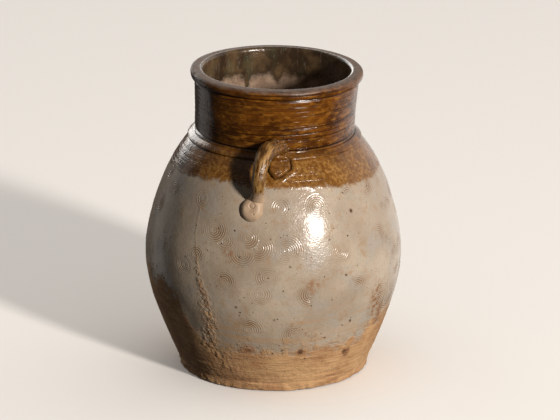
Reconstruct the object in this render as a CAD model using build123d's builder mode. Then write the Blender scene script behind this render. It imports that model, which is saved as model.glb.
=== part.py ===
from build123d import *
import math
import os

# A stoneware fermenting jar, as the potter's separate pieces of clay: a base slab, four
# rings of wall, a cordon, a neck and a lip on one upright axis, and a loop handle held
# by two pads of clay. Millimetres, +Z up, origin at the centre of the foot, and the
# handle on the -Y side. Every piece meets its neighbours face to face.

# Base slab
slab_radius = 93.6              # at the floor
slab_thickness = 9.0
slab_edge_flare = 1.6           # the edge leans out by this much on its way up
slab_edge_round = 1.0

# Body, from the top of the slab to the cordon
body_height = 231.0
wall_foot_radius = 95.2
belly_radius = 126.6            # the widest place
wall = 8.0                      # measured level
# Stations of the body's outline: share of the way up, and share of the swell there.
# The swell is counted from the wall's foot below the belly, and from the neck above it.
lower_station = (0.23, 0.65)
belly_station = (0.473, 1.0)
upper_station = (0.703, 0.80)
shoulder_station = (0.905, 0.357)
inner_shoulder_thickening = 1.5  # the wall is this much thicker where the neck weighs on it
course_joints = (0.24, 0.47, 0.69)  # shares of the body's height
scarf_slope = 0.6               # each joint drops this much per millimetre outwards

# Neck and lip
mouth_radius = 71.5             # the clear bore of the neck
neck_wall = 6.4
neck_flare = 1.8                # the neck's outside widens by this much towards the lip
neck_height = 52.5
cordon_height = 6.5
cordon_bulge = 0.9
cordon_seat = 6.3               # from the neck's root out to the shoulder's top edge
cordon_ledge = 4.9              # from the neck's root out to the cordon's top edge
lip_height = 10.0
lip_overhang = 4.5
lip_outer_round = 4.2
lip_under_round = 2.6
lip_inner_round = 1.8

# Loop handle
rod_radius = 6.5
rod_root_rise = 8.5             # the rod leaves the neck this far above the cordon
rod_root_depth = 2.0            # how deep its end is keyed into the neck
rod_reach = 36.0                # from the neck's face to the rod's outermost centre
rod_crown_rise = 4.0            # the crown above the rod's root
rod_root_azimuth = 6.5          # degrees from the front, towards +X
rod_foot_azimuth = -6.2
rod_foot_inset = 1.0            # the rod's end lies this far inside the pad's seat
# Points between the rod's root and its foot: shares of its reach, of its swing sideways
# and of its drop. The crown, the first of them, stands above the root instead of dropping.
rod_crown_share = (0.42, 0.2)
rod_shoulder_share = (0.82, 0.48, 0.08)
rod_outermost_share = (1.0, 0.7, 0.41)
rod_return_share = (0.972, 0.88, 0.73)

# Pads of the handle
lower_pad_station = 0.825       # share of the way along the body's outline
lower_pad_radius = 11.5
lower_pad_thickness = 5.0
lower_pad_round = 2.4
upper_pad_azimuth = 9.0
upper_pad_station = 0.945       # where the pad's tip lies on the body's outline
upper_pad_rise = 5.5            # the pad's top above the cordon
upper_pad_half_width = 11.0
upper_pad_thickness = 5.0
upper_pad_round = 1.2
pad_key = 4.5                   # how deep a pad's blank reaches behind its seat, before trimming

# Derived sizes
cordon_top = body_height + cordon_height
neck_radius = mouth_radius + neck_wall
neck_top = cordon_top + neck_height
jar_height = neck_top + lip_height
lip_radius = neck_radius + neck_flare + lip_overhang
shoulder_top_radius = neck_radius + cordon_seat


def station(shares, low_radius):
    """A point of the outline: radius and height, from its two shares."""
    rise, swell = shares
    radius = low_radius + swell * (belly_radius - low_radius)
    return (radius, slab_thickness + rise * (body_height - slab_thickness))


def inside(point, thickness):
    return (point[0] - thickness, point[1])


wall_foot = (wall_foot_radius, slab_thickness)
lower_wall = station(lower_station, wall_foot_radius)
belly = station(belly_station, wall_foot_radius)
upper_wall = station(upper_station, shoulder_top_radius)
shoulder = station(shoulder_station, shoulder_top_radius)
shoulder_top = (shoulder_top_radius, body_height)
outer_points = [wall_foot, lower_wall, belly, upper_wall, shoulder, shoulder_top]
inner_points = [
    inside(wall_foot, wall),
    inside(lower_wall, wall),
    inside(belly, wall),
    inside(upper_wall, wall),
    inside(shoulder, wall + inner_shoulder_thickening),
    (mouth_radius, body_height),
]


def joint_height(share, slope, radius):
    """Height of a joint between two courses, where it passes the given radius."""
    at_belly = slab_thickness + share * (body_height - slab_thickness)
    return at_belly - slope * (radius - belly_radius)


def around(radius, azimuth, height):
    """The point at a radius and height, turned from the front (-Y) towards +X."""
    turn = math.radians(azimuth)
    return Vector(radius * math.sin(turn), -radius * math.cos(turn), height)


def seat_plane(point, slope, azimuth):
    """Plane on the jar's outside: x to the right, y up the wall, z out of the clay."""
    origin = around(point[0], azimuth, point[1])
    outward = around(slope[1], azimuth, -slope[0])
    turn = math.radians(azimuth)
    return Plane(origin=origin, x_dir=(math.cos(turn), math.sin(turn), 0), z_dir=outward)


def finish(part, name):
    part.label = name
    export_step(part, f"parts/{name}.step")


os.makedirs("parts", exist_ok=True)

# The body's outline as a curve of its own, to place the handle's pads on
with BuildLine() as outline:
    Spline(*outer_points)

# Base slab: a disc whose edge leans out a little
with BuildPart() as base_slab:
    with BuildSketch(Plane.XZ):
        with BuildLine():
            Polyline(
                (0, 0),
                (slab_radius, 0),
                (slab_radius + slab_edge_flare, slab_thickness),
                (0, slab_thickness),
                close=True,
            )
        make_face()
    revolve(axis=Axis.Z)
    fillet(base_slab.edges().filter_by(GeomType.CIRCLE).sort_by(Axis.Z)[0], slab_edge_round)
finish(base_slab.part, "base_slab")

# Four rings of wall. The joints between them are scarfed, lower on the outside, and the
# first stands flat on the slab and the last carries the cordon on a flat top.
course_names = ["lower_wall_course", "belly_wall_course", "upper_wall_course", "shoulder_course"]
joint_shares = [0.0, *course_joints, 1.0]
joint_slopes = [0.0, *[scarf_slope] * len(course_joints), 0.0]
band_inside = mouth_radius / 2
band_outside = belly_radius + wall
courses = {}
for index, course_name in enumerate(course_names):
    low_share, high_share = joint_shares[index], joint_shares[index + 1]
    low_slope, high_slope = joint_slopes[index], joint_slopes[index + 1]
    with BuildPart() as course:
        with BuildSketch(Plane.XZ):
            with BuildLine():
                outer_face = Spline(*outer_points)
                inner_face = Spline(*inner_points)
                Line(outer_face @ 0, inner_face @ 0)
                Line(outer_face @ 1, inner_face @ 1)
            make_face()
            with BuildLine():
                Polyline(
                    (band_inside, joint_height(low_share, low_slope, band_inside)),
                    (band_outside, joint_height(low_share, low_slope, band_outside)),
                    (band_outside, joint_height(high_share, high_slope, band_outside)),
                    (band_inside, joint_height(high_share, high_slope, band_inside)),
                    close=True,
                )
            make_face(mode=Mode.INTERSECT)
        revolve(axis=Axis.Z)
    courses[course_name] = course.part
    finish(course.part, course_name)

# Cordon: the coil that joins the neck to the body, bulging past both
with BuildPart() as neck_cordon:
    with BuildSketch(Plane.XZ):
        with BuildLine():
            cordon_edge = ThreePointArc(
                (shoulder_top_radius, body_height),
                (shoulder_top_radius + cordon_bulge, body_height + cordon_height / 2),
                (neck_radius + cordon_ledge, cordon_top),
            )
            Polyline(
                cordon_edge @ 1,
                (mouth_radius, cordon_top),
                (mouth_radius, body_height),
                cordon_edge @ 0,
            )
        make_face()
    revolve(axis=Axis.Z)
finish(neck_cordon.part, "neck_cordon")

# Neck: a straight bore inside, and a slightly waisted, flaring face outside
with BuildPart() as neck_collar:
    with BuildSketch(Plane.XZ):
        with BuildLine():
            neck_face = ThreePointArc(
                (neck_radius, cordon_top),
                (neck_radius + neck_flare / 4, cordon_top + neck_height / 2),
                (neck_radius + neck_flare, neck_top),
            )
            Polyline(
                neck_face @ 1,
                (mouth_radius, neck_top),
                (mouth_radius, cordon_top),
                neck_face @ 0,
            )
        make_face()
    revolve(axis=Axis.Z)
finish(neck_collar.part, "neck_collar")

# Lip: a thick flattened roll that overhangs the neck
with BuildPart() as rim_lip:
    with BuildSketch(Plane.XZ) as lip_section:
        with BuildLine():
            Polyline(
                (mouth_radius, neck_top),
                (lip_radius, neck_top),
                (lip_radius, jar_height),
                (mouth_radius, jar_height),
                close=True,
            )
        make_face()
        inner_corners = lip_section.vertices().group_by(Axis.X)[0].sort_by(Axis.Z)
        outer_corners = lip_section.vertices().group_by(Axis.X)[-1].sort_by(Axis.Z)
        fillet(outer_corners[-1], lip_outer_round)
        fillet(outer_corners[0], lip_under_round)
        fillet(inner_corners[-1], lip_inner_round)
    revolve(axis=Axis.Z)
finish(rim_lip.part, "rim_lip")

# Lower pad: a thumb-pressed disc on the shoulder, round-edged in front, and trimmed
# behind to the wall that it is pressed on
lower_seat = outline.line @ lower_pad_station
lower_slope = outline.line % lower_pad_station
lower_pad_plane = seat_plane(
    (lower_seat.X, lower_seat.Y), (lower_slope.X, lower_slope.Y), rod_foot_azimuth
)
with BuildPart() as handle_lower_pad:
    with BuildSketch(lower_pad_plane.offset(-pad_key)):
        Circle(lower_pad_radius)
    extrude(amount=pad_key + lower_pad_thickness)
    facing_out = Axis(lower_pad_plane.origin, lower_pad_plane.z_dir)
    pad_front = handle_lower_pad.faces().sort_by(facing_out)[-1]
    fillet(pad_front.edges(), lower_pad_round)
    add(courses["shoulder_course"], mode=Mode.SUBTRACT)
finish(handle_lower_pad.part, "handle_lower_pad")

# Upper pad: a leaf-shaped dab that bridges from the shoulder over the cordon to the neck
tip = outline.line @ upper_pad_station
leaf_low = (tip.X, tip.Y)
leaf_high = (neck_radius, cordon_top + upper_pad_rise)
leaf_length = math.dist(leaf_low, leaf_high)
leaf_slope = ((leaf_high[0] - leaf_low[0]) / leaf_length, (leaf_high[1] - leaf_low[1]) / leaf_length)
leaf_middle = ((leaf_low[0] + leaf_high[0]) / 2, (leaf_low[1] + leaf_high[1]) / 2)
upper_pad_plane = seat_plane(leaf_middle, leaf_slope, upper_pad_azimuth)
with BuildPart() as handle_upper_pad:
    with BuildSketch(upper_pad_plane.offset(-pad_key)):
        with BuildLine():
            leaf_tip = (-upper_pad_half_width / 3, -leaf_length / 2)
            leaf_top = (0, leaf_length / 2)
            ThreePointArc(leaf_tip, (upper_pad_half_width, 0), leaf_top)
            ThreePointArc(leaf_top, (-upper_pad_half_width, leaf_length / 8), leaf_tip)
        make_face()
    extrude(amount=pad_key + upper_pad_thickness)
    facing_out = Axis(upper_pad_plane.origin, upper_pad_plane.z_dir)
    leaf_front = handle_upper_pad.faces().sort_by(facing_out)[-1]
    fillet(leaf_front.edges(), upper_pad_round)
    add(courses["shoulder_course"], mode=Mode.SUBTRACT)
    add(neck_cordon.part, mode=Mode.SUBTRACT)
    add(neck_collar.part, mode=Mode.SUBTRACT)
finish(handle_upper_pad.part, "handle_upper_pad")

# Rod: round, arching from the neck out and down to the lower pad, swinging sideways on
# the way. Its ends are trimmed to the pieces that they are luted to.
root_height = cordon_top + rod_root_rise
foot = (lower_seat.X, lower_seat.Y)
drop = root_height - foot[1]
swing = rod_root_azimuth - rod_foot_azimuth


def rod_point(shares):
    """A point of the rod's line, from its shares of the reach, the swing and the drop."""
    reach, sideways, down = shares
    return around(
        neck_radius + reach * rod_reach,
        rod_root_azimuth - sideways * swing,
        root_height - down * drop,
    )


rod_route = [
    around(neck_radius - rod_root_depth, rod_root_azimuth, root_height),
    rod_point((*rod_crown_share, -rod_crown_rise / drop)),
    rod_point(rod_shoulder_share),
    rod_point(rod_outermost_share),
    rod_point(rod_return_share),
    around(foot[0] - rod_foot_inset, rod_foot_azimuth, foot[1]),
]
with BuildPart() as handle_rod:
    with BuildLine() as rod_axis:
        leaving, arriving = around(1, rod_root_azimuth, 0), rod_route[-1] - rod_route[-2]
        Spline(*rod_route, tangents=(leaving, arriving))
    with BuildSketch(Plane(origin=rod_axis.line @ 0, z_dir=rod_axis.line % 0)):
        Circle(rod_radius)
    sweep()
    add(neck_collar.part, mode=Mode.SUBTRACT)
    add(neck_cordon.part, mode=Mode.SUBTRACT)
    add(courses["shoulder_course"], mode=Mode.SUBTRACT)
    add(handle_upper_pad.part, mode=Mode.SUBTRACT)
    add(handle_lower_pad.part, mode=Mode.SUBTRACT)
finish(handle_rod.part, "handle_rod")
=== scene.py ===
# %% [markdown]
# # A potter's jar, luted from rings of clay
# This lesson dresses a measured model of an old stoneware fermenting jar. The measured model
# says where every ring of clay lies. Here each ring is turned again with the marks of the
# hand in it: throwing ribs, paddle stamps, a scar, a ragged foot, and its glazes.

# %% Load the measured jar
import math

import bpy
import numpy as np
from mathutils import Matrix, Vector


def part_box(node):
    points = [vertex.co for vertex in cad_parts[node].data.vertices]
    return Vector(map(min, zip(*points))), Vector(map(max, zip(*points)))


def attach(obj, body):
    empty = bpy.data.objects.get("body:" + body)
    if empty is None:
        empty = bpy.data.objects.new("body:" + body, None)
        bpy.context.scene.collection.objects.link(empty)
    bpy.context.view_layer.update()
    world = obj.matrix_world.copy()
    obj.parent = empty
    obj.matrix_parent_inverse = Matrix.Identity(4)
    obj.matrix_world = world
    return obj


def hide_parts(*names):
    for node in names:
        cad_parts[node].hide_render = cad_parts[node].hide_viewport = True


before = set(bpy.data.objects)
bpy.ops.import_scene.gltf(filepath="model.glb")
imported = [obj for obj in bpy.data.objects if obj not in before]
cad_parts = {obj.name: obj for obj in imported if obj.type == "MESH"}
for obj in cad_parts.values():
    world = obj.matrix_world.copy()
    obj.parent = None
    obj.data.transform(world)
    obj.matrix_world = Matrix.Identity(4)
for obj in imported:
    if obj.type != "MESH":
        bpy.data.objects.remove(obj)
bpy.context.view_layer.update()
MM = 0.001
print("pieces of the measured jar:", ", ".join(sorted(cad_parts)))

# %% [markdown]
# ## Reading the outline
# A thrown pot is round, so its whole shape is two curves: the outer and the inner radius at
# each height. They are read from the faces of the measured rings, so that nothing drawn here
# can drift from them. A face belongs to the outside if it looks away from the axis.

# %% The two outlines
RINGS = [
    "lower_wall_course", "belly_wall_course", "upper_wall_course", "shoulder_course",
    "neck_cordon", "neck_collar",
]


def ring_face(node, outward):
    """Heights and radii, in mm, of the points on a ring's outer or inner face."""
    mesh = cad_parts[node].data
    points = np.array([v.co for v in mesh.vertices]) / MM
    found = set()
    for face in mesh.polygons:
        away = face.center.xy.normalized().dot(face.normal.xy)
        if away * outward > 0.6:
            found.update(face.vertices)
    chosen = points[sorted(found)]
    return chosen[:, 2], np.hypot(chosen[:, 0], chosen[:, 1])


def outline_of(outward):
    """One curve of radius against height for all the rings together."""
    heights, radii = [], []
    for node in RINGS:
        high, wide = ring_face(node, outward)
        heights.append(high)
        radii.append(wide)
    heights, radii = np.concatenate(heights), np.concatenate(radii)
    grid, group = np.unique(np.round(heights, 1), return_inverse=True)
    mean = np.bincount(group, radii) / np.bincount(group)
    return grid, mean


outer_grid, outer_mean = outline_of(1)
inner_grid, inner_mean = outline_of(-1)
SLAB_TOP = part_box("base_slab")[1].z / MM
CORDON_FOOT, CORDON_TOP = (corner.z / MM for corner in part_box("neck_cordon"))
NECK_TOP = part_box("neck_collar")[1].z / MM
JAR_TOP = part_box("rim_lip")[1].z / MM
LIP_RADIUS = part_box("rim_lip")[1].x / MM
SLAB_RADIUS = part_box("base_slab")[1].x / MM
MOUTH_RADIUS = inner_mean[-1]


def outer_radius(height):
    return np.interp(height, outer_grid, outer_mean)


def inner_radius(height):
    return np.interp(height, inner_grid, inner_mean)


print(f"belly {outer_mean.max():.1f} mm, mouth {MOUTH_RADIUS:.1f} mm, height {JAR_TOP:.0f} mm")

# %% [markdown]
# ## Random lumps that are the same every time
# Clay and glaze are never even. Every unevenness here, from a dent as wide as a palm to a
# grain of grit, comes from one function: a block of random numbers, read smoothly in between.
# It is read at a place in space, so two rings that meet get the same value along their joint.

# %% Soft random lumps
LATTICE = 32


def lumps(places, size, seed, octaves=2):
    """Smooth random values from -1 to 1 with lumps about `size` mm wide, at places in mm."""
    lattice = np.random.default_rng(seed).uniform(-1, 1, (LATTICE, LATTICE, LATTICE))
    total, share, sum_of_shares = 0, 1.0, 0
    for octave in range(octaves):
        spot = places / (size / 2**octave) + 7.3 * octave
        cell = np.floor(spot).astype(int)
        part = spot - cell
        part = part * part * (3 - 2 * part)
        weights = (1 - part, part)
        value = 0
        for i, j, k in np.ndindex(2, 2, 2):
            weight = weights[i][:, 0] * weights[j][:, 1] * weights[k][:, 2]
            ix, iy, iz = ((cell + (i, j, k)) % LATTICE).T
            value = value + weight * lattice[ix, iy, iz]
        total = total + share * value
        sum_of_shares += share
        share *= 0.5
    return 1.6 * total / sum_of_shares


def smooth(low, high, value):
    """0 on the low side, 1 on the high side, and a soft S between; low may be the larger."""
    part = np.clip((value - low) / (high - low), 0, 1)
    return part * part * (3 - 2 * part)


def on_jar(azimuth, height, radius=None):
    """The place at an azimuth (degrees from the front, -Y, towards +X) and a height, in mm."""
    turn = np.radians(azimuth)
    radius = outer_radius(height) if radius is None else radius
    return np.stack([radius * np.sin(turn), -radius * np.cos(turn), height + 0 * turn], axis=-1)


# %% [markdown]
# ## Where things are on the jar
# The jar was beaten with a paddle whose face is cut with fine rings, so its wall is covered
# in overlapping ring marks. The marks at the front are listed one by one, and the rest of
# the wall is filled with marks of the same sizes, far enough apart. The two glaze edges are
# lines of height against azimuth, given point by point where they wander.

# %% Stamps, glaze edges and the scar
# azimuth, height, reach in mm, and the way the paddle was tipped, in degrees from the right
FRONT_STAMPS = [
    (-24.5, 168, 19, -30), (-18, 160, 13, -60), (-7.5, 164, 15, -20), (-9.5, 149, 19, -80),
    (-2, 155, 19, -40), (8, 192, 13, 100), (27, 191, 15, 130), (10.5, 153, 20, 35),
    (-17.5, 121, 16, 60), (-38, 130, 14, -120), (-32.5, 142, 12, 50), (-1.5, 111, 16, -45),
    (21, 109, 17, 210), (-7, 72, 19, 70), (14, 67, 15, 120), (-33.5, 194, 12, 170),
    (46.5, 196, 12, 90), (36, 146, 14, -60), (44, 109, 16, 30), (-56, 140, 17, 0),
    (-58, 192, 14, 40), (2, 128, 16, 150),
]
STAMP_ROWS = (58, 82, 106, 130, 154, 178, 202)
STAMP_SPACING = 26.0            # mm between the marks round the sides and the back
# azimuth and height of the lower edges of the brown and of the grey glaze
BROWN_EDGE = [(-180, 206), (-110, 209), (-60, 208), (-40, 210), (-22, 210.5), (-2, 210),
              (14, 209), (37, 206), (47, 204.5), (70, 202), (120, 205), (180, 206)]
GREY_EDGE = [(-180, 74), (-120, 92), (-80, 106), (-56, 101), (-43, 88), (-38, 58), (-33, 46),
             (-18, 43), (-2, 52), (18, 48), (40, 49), (52, 51), (60, 62), (90, 66), (140, 58),
             (180, 74)]
# azimuth, half width and length in mm of the drips inside the neck, below its poured band
DRIPS = [(-152, 2.6, 13), (183, 4.0, 8), (160, 9, 3), (-122, 8, 4), (-96, 3.5, 9), (118, 3.0, 12),
         (62, 9.0, 4), (15, 3.0, 9), (-34, 8, 4), (-66, 3.0, 8)]
POURED_EDGE = 272.0
SCAR = [(-34.5, 186), (-34, 160), (-31, 133), (-29, 114), (-27, 98), (-25.5, 74), (-30, 48),
        (-23, 27)]
SCAR_WIDTH = [0.6, 0.8, 1.6, 3.4, 6.5, 7.0, 9.0, 10.0]
# azimuth, height, half width and half height in mm of the rusty stains
# azimuth, height and radius in mm of single dark specks
SPECKS = [(45.5, 182, 1.7), (43, 73, 1.4), (21, 37.5, 1.0), (30, 59.5, 1.0), (-22, 170, 0.9),
          (12, 138, 0.9), (31, 160, 1.0), (-12, 96, 1.1), (5, 84, 0.9), (38, 124, 1.0),
          (24, 199, 0.9), (18.5, 46, 2.6), (44, 38, 2.4), (-50, 150, 1.2), (110, 150, 1.4),
          (165, 170, 1.2), (-140, 140, 1.5)]
STAINS = [(58, 90, 9, 20), (64, 70, 7, 12), (22, 117, 6, 7), (18.5, 46, 4, 4.5),
          (46, 36, 4, 5), (21, 66, 4, 3), (-8, 50, 7, 5), (13, 78, 2.5, 2.5), (-16, 148, 5, 7),
          (150, 80, 12, 15), (-120, 120, 8, 10), (100, 130, 7, 9), (200, 150, 6, 6)]


def edge_height(edge, azimuth):
    """Height of a glaze edge at an azimuth."""
    stops = np.array(edge, float)
    return np.interp((azimuth + 180) % 360 - 180, stops[:, 0], stops[:, 1])


def all_stamps():
    """The front's marks, and scattered ones wherever no front mark is near."""
    random = np.random.default_rng(11)
    stamps = list(FRONT_STAMPS)
    for row in STAMP_ROWS:
        count = int(2 * math.pi * outer_radius(row) / STAMP_SPACING)
        for index in range(count):
            azimuth = 360 * (index + random.uniform(-0.35, 0.35)) / count
            azimuth = (azimuth + 180) % 360 - 180
            height = row + random.uniform(-9, 9)
            reach = random.uniform(11, 19)
            tip = random.uniform(0, 360)
            if not -66 < azimuth < 60:
                stamps.append((azimuth, height, reach, tip))
    return stamps


STAMPS = all_stamps()
print(len(STAMPS), "paddle marks")

# %% [markdown]
# ## Marks as numbers on the mesh
# For every point of the outside, a few numbers say what has happened there: how far it is
# from the centre of the strongest paddle mark, how deep that mark is, how far it is above
# each glaze edge, and how much scar or stain it carries. The shapes below and the finishes
# later both read these numbers, so relief and colour always agree.

# %% Numbers for every point
BOSS_RADIUS = 3.4               # the plain disc at the middle of a ring mark


def stamp_numbers(azimuth, height):
    """Distance to the strongest ring mark, that mark's strength, and the dishing of them all."""
    best, second = np.zeros_like(height), np.zeros_like(height)
    distance, dish = np.full_like(height, 60.0), np.zeros_like(height)
    for centre_azimuth, centre_height, reach, tip in STAMPS:
        near = np.flatnonzero(np.abs(height - centre_height) < reach)
        turned = (azimuth[near] - centre_azimuth + 180) % 360 - 180
        across = np.radians(turned) * outer_radius(centre_height)
        near, across = near[np.abs(across) < reach], across[np.abs(across) < reach]
        up = (height[near] - centre_height) * 1.08
        away = np.hypot(across, up)
        angle = np.arctan2(up, across) - math.radians(tip)
        pressed = 0.32 + 0.68 * smooth(-0.3, 0.8, np.cos(angle)) * smooth(0, 5, away)
        strength = pressed * (1 - smooth(0.45 * reach, reach, away))
        dish[near] += 0.42 * (1 - smooth(0, reach, away)) * pressed
        dish[near] -= 0.22 * np.exp(-(((away - BOSS_RADIUS) / 0.9) ** 2))
        wins = strength > best[near]
        second[near] = np.where(wins, best[near], np.maximum(second[near], strength))
        distance[near] = np.where(wins, away, distance[near])
        best[near] = np.maximum(strength, best[near])
    return distance, best * smooth(0, 0.16, best - second), dish


def scar_numbers(azimuth, height):
    """How much of the rough vertical scar a place carries, from 0 to 1."""
    scar = np.zeros_like(height)
    for low, high, wide, wider in zip(SCAR, SCAR[1:], SCAR_WIDTH, SCAR_WIDTH[1:]):
        a = on_jar(low[0], low[1])
        b = on_jar(high[0], high[1])
        places = on_jar(azimuth, height)
        along = np.clip((places - a) @ (b - a) / ((b - a) @ (b - a)), 0, 1)
        gap = np.linalg.norm(places - a - along[:, None] * (b - a), axis=1)
        width = wide + along * (wider - wide)
        scar = np.maximum(scar, np.exp(-((gap / width) ** 2)))
    return scar * (0.4 + 0.6 * smooth(152, 122, height))


def speck_numbers(azimuth, height):
    speck = np.zeros_like(height)
    for centre_azimuth, centre_height, reach in SPECKS:
        turned = (azimuth - centre_azimuth + 180) % 360 - 180
        across = np.radians(turned) * outer_radius(centre_height)
        gap = np.hypot(across, height - centre_height) / reach
        speck = np.maximum(speck, 1 - smooth(0.6, 1.5, gap))
    return speck


def stain_numbers(azimuth, height):
    stain = np.zeros_like(height)
    for centre_azimuth, centre_height, half_width, half_height in STAINS:
        turned = (azimuth - centre_azimuth + 180) % 360 - 180
        across = np.radians(turned) * outer_radius(centre_height) / half_width
        up = (height - centre_height) / half_height
        stain = np.maximum(stain, 1 - smooth(0.5, 1.5, np.hypot(across, up)))
    return stain


# %% [markdown]
# ## The relief of the outside
# The potter's hands leave the neck in horizontal ribs, finest and sharpest under the lip.
# The grooves at its root and under the cordon were cut with the edge of a tool. Lower down
# the paddle flattens the wall into soft facets. Glaze adds a fraction of a millimetre, and
# it ends in a thicker roll.

# %% Relief in millimetres, outwards
# height, depth, half width and darkness of the neck's grooves; a negative depth is a bead
GROOVES = [(290.4, 1.0, 1.0, 1.0), (287.6, -0.4, 0.9, 0.0), (285.0, 0.16, 0.8, 0.5),
           (279.3, 0.12, 0.7, 0.5), (274.4, 0.14, 0.6, 0.6), (269.3, 0.10, 0.7, 0.4),
           (262.3, 0.16, 0.6, 0.6), (256.4, 0.10, 0.7, 0.4), (251.6, 0.22, 0.6, 0.9),
           (246.4, 0.14, 0.6, 0.6), (239.4, 1.5, 1.0, 1.0), (231.6, 0.4, 0.9, 0.5)]
RIB_PITCH = 4.6
NECK_ROOT = CORDON_TOP


def neck_ribs(azimuth, height, places):
    """The ribs' relief in mm, and the glaze's darkening, 0 to 1: pooled in grooves, and painted shade on
    the left.
    """
    wander = 0.7 * np.sin(np.radians(azimuth + 40)) + 0.5 * lumps(places, 40, 21)
    level = height + wander * smooth(NECK_ROOT + 3, NECK_ROOT + 12, height)
    ribs, glaze_pool_and_painted_shade = np.zeros_like(height), np.zeros_like(height)
    for groove_height, depth, half_width, darkness in GROOVES:
        lowest = 0.9 if depth > 0.9 else 0.0
        fade = np.clip(0.75 + 0.6 * lumps(places + groove_height, 26, 22), lowest, 1.3)
        dip = fade * np.exp(-(((level - groove_height) / half_width) ** 2))
        ribs -= depth * dip
        glaze_pool_and_painted_shade = np.maximum(glaze_pool_and_painted_shade, darkness * dip)
    on_neck = smooth(NECK_ROOT, NECK_ROOT + 4, height)
    ribs += 0.05 * on_neck * np.sin(2 * math.pi * level / RIB_PITCH + 2 * lumps(places, 25, 23))
    # painted shade: the glaze is painted darker on the jar's left, the side away from the key light
    painted_shade_on_left = smooth(-6, -26, azimuth) * (1 - smooth(-75, -110, azimuth))
    glaze_pool_and_painted_shade = np.maximum(glaze_pool_and_painted_shade, painted_shade_on_left * (0.38 + 0.22 * lumps(places * (1, 1, 0.5), 12, 24)))
    return ribs, glaze_pool_and_painted_shade


LEAF_AZIMUTH, LEAF_HEIGHT = 8.6, 228.0


# angle in degrees and half width in mm round the upper pad, a rounded five-cornered flap
LEAF_EDGE = [(-180, 10.6), (-151, 12.0), (-129, 12.6), (-111, 14.2), (-92, 11.2), (-70, 9.4),
             (-46, 9.2), (-20, 10.2), (8, 10.2), (34, 10.8), (71, 12.6), (117, 12.4), (150, 11.0),
             (180, 10.6)]


def leaf_outline(angle):
    """Half width of the upper pad at an angle, in mm."""
    stops = np.array(LEAF_EDGE)
    return np.interp(np.degrees(angle), stops[:, 0], stops[:, 1])


def leaf_surround(azimuth, height):
    """The crease round the upper pad, deepest below it and on its right, and its soft ridge."""
    turned = (azimuth - LEAF_AZIMUTH + 180) % 360 - 180
    across = np.radians(turned) * outer_radius(LEAF_HEIGHT)
    up = (height - LEAF_HEIGHT) * 1.2
    angle = np.arctan2(up, across)
    gap = np.hypot(across, up) - leaf_outline(angle)
    gap += 0.8 * lumps(on_jar(azimuth, height), 5, 35)
    open_side = 0.25 + 0.75 * smooth(-0.5, 0.5, np.cos(angle + math.radians(50)))
    crease = open_side * np.exp(-(((gap - 0.4) / 1.1) ** 2))
    ridge = open_side * np.exp(-(((gap - 3.8) / 1.7) ** 2))
    return crease, ridge


def outside_numbers(places):
    """All the numbers of the outside, for places on the even outline."""
    height = places[:, 2]
    azimuth = np.degrees(np.arctan2(places[:, 0], -places[:, 1]))
    distance, mark, dish = stamp_numbers(azimuth, height)
    on_wall = smooth(SLAB_TOP + 12, SLAB_TOP + 30, height)
    on_wall = on_wall * (1 - smooth(CORDON_FOOT - 12, CORDON_FOOT - 4, height))
    brown = height - edge_height(BROWN_EDGE, azimuth)
    brown += 1.5 * lumps(places, 16, 31) + 1.2 * lumps(places, 5, 32)
    grey = height - edge_height(GREY_EDGE, azimuth)
    grey += 5.0 * lumps(places * (1, 1, 1.6), 26, 33)
    ribs, glaze_pool_and_painted_shade = neck_ribs(azimuth, height, places)
    crease, ridge = leaf_surround(azimuth, height)
    poured = height - POURED_EDGE + 2.5 * lumps(places * (1, 1, 0), 18, 34)
    for drip_azimuth, half_width, length in DRIPS:
        turned = (azimuth - drip_azimuth + 180) % 360 - 180
        poured += length * np.exp(-((np.radians(turned) * MOUTH_RADIUS / half_width) ** 2))
    return {
        "ribs": ribs - 1.3 * crease + 0.9 * ridge,
        # glaze pooled in the grooves and the pad's crease, with the painted shade on the left
        "glaze_pool_and_painted_shade": np.maximum(glaze_pool_and_painted_shade, crease),
        "ring_distance": distance,
        "ring_mark": mark * on_wall,
        "dish": dish * on_wall,
        "above_brown_edge": brown,
        "above_grey_edge": grey,
        "scar": scar_numbers(azimuth, height),
        "stain": stain_numbers(azimuth, height),
        "speck": speck_numbers(azimuth, height),
        "azimuth": azimuth,
        "height": height,
        "inside": 0 * height,
        "above_poured_edge": poured,
    }


def outside_relief(places, numbers):
    """How far each point of the outside moves outwards, in mm."""
    height, scar = numbers["height"], numbers["scar"]
    relief = 0.9 * lumps(places, 75, 41) + 0.38 * lumps(places, 24, 42)
    relief += numbers["ribs"]
    on_cordon = smooth(79, 82, np.hypot(places[:, 0], places[:, 1])) * (height < CORDON_TOP + 1)
    relief -= 3.6 * on_cordon * smooth(CORDON_FOOT + 1.5, CORDON_TOP, height)
    relief -= numbers["dish"]
    crumbs = np.clip(lumps(places, 3.6, 43) + 0.25, 0, 1) + 0.7 * lumps(places, 2.0, 44)
    low_on_wall = smooth(140, 115, height) + 0.04
    relief += 0.62 * scar * np.clip(low_on_wall, 0, 1) * (crumbs - 0.2)
    brown = numbers["above_brown_edge"]
    relief += 0.28 * smooth(-0.6, 0.9, brown)
    relief += 0.22 * np.exp(-(((brown - 1.2) / 1.3) ** 2))
    near_foot = 1 - smooth(14, 42, height)
    streaks = lumps(places * (0.35, 0.35, 2.2), 7, 45, 3)
    relief += near_foot * (0.45 * streaks + 0.25 * lumps(places, 3.5, 46))
    ragged = 1 - smooth(2, 9, height)
    relief += ragged * (0.55 * lumps(places, 6.0, 47, 3) - 0.9 * smooth(0.35, 0.8, lumps(places, 9, 48)))
    return relief


NECK_SAG = 4.4                  # mm to the right, had the neck been a little taller
DIP_RIGHT, DIP_FORWARD = math.radians(1.0), math.radians(1.1)
DIP_HINGE = -70                 # y in mm of the line that stays level


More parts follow.
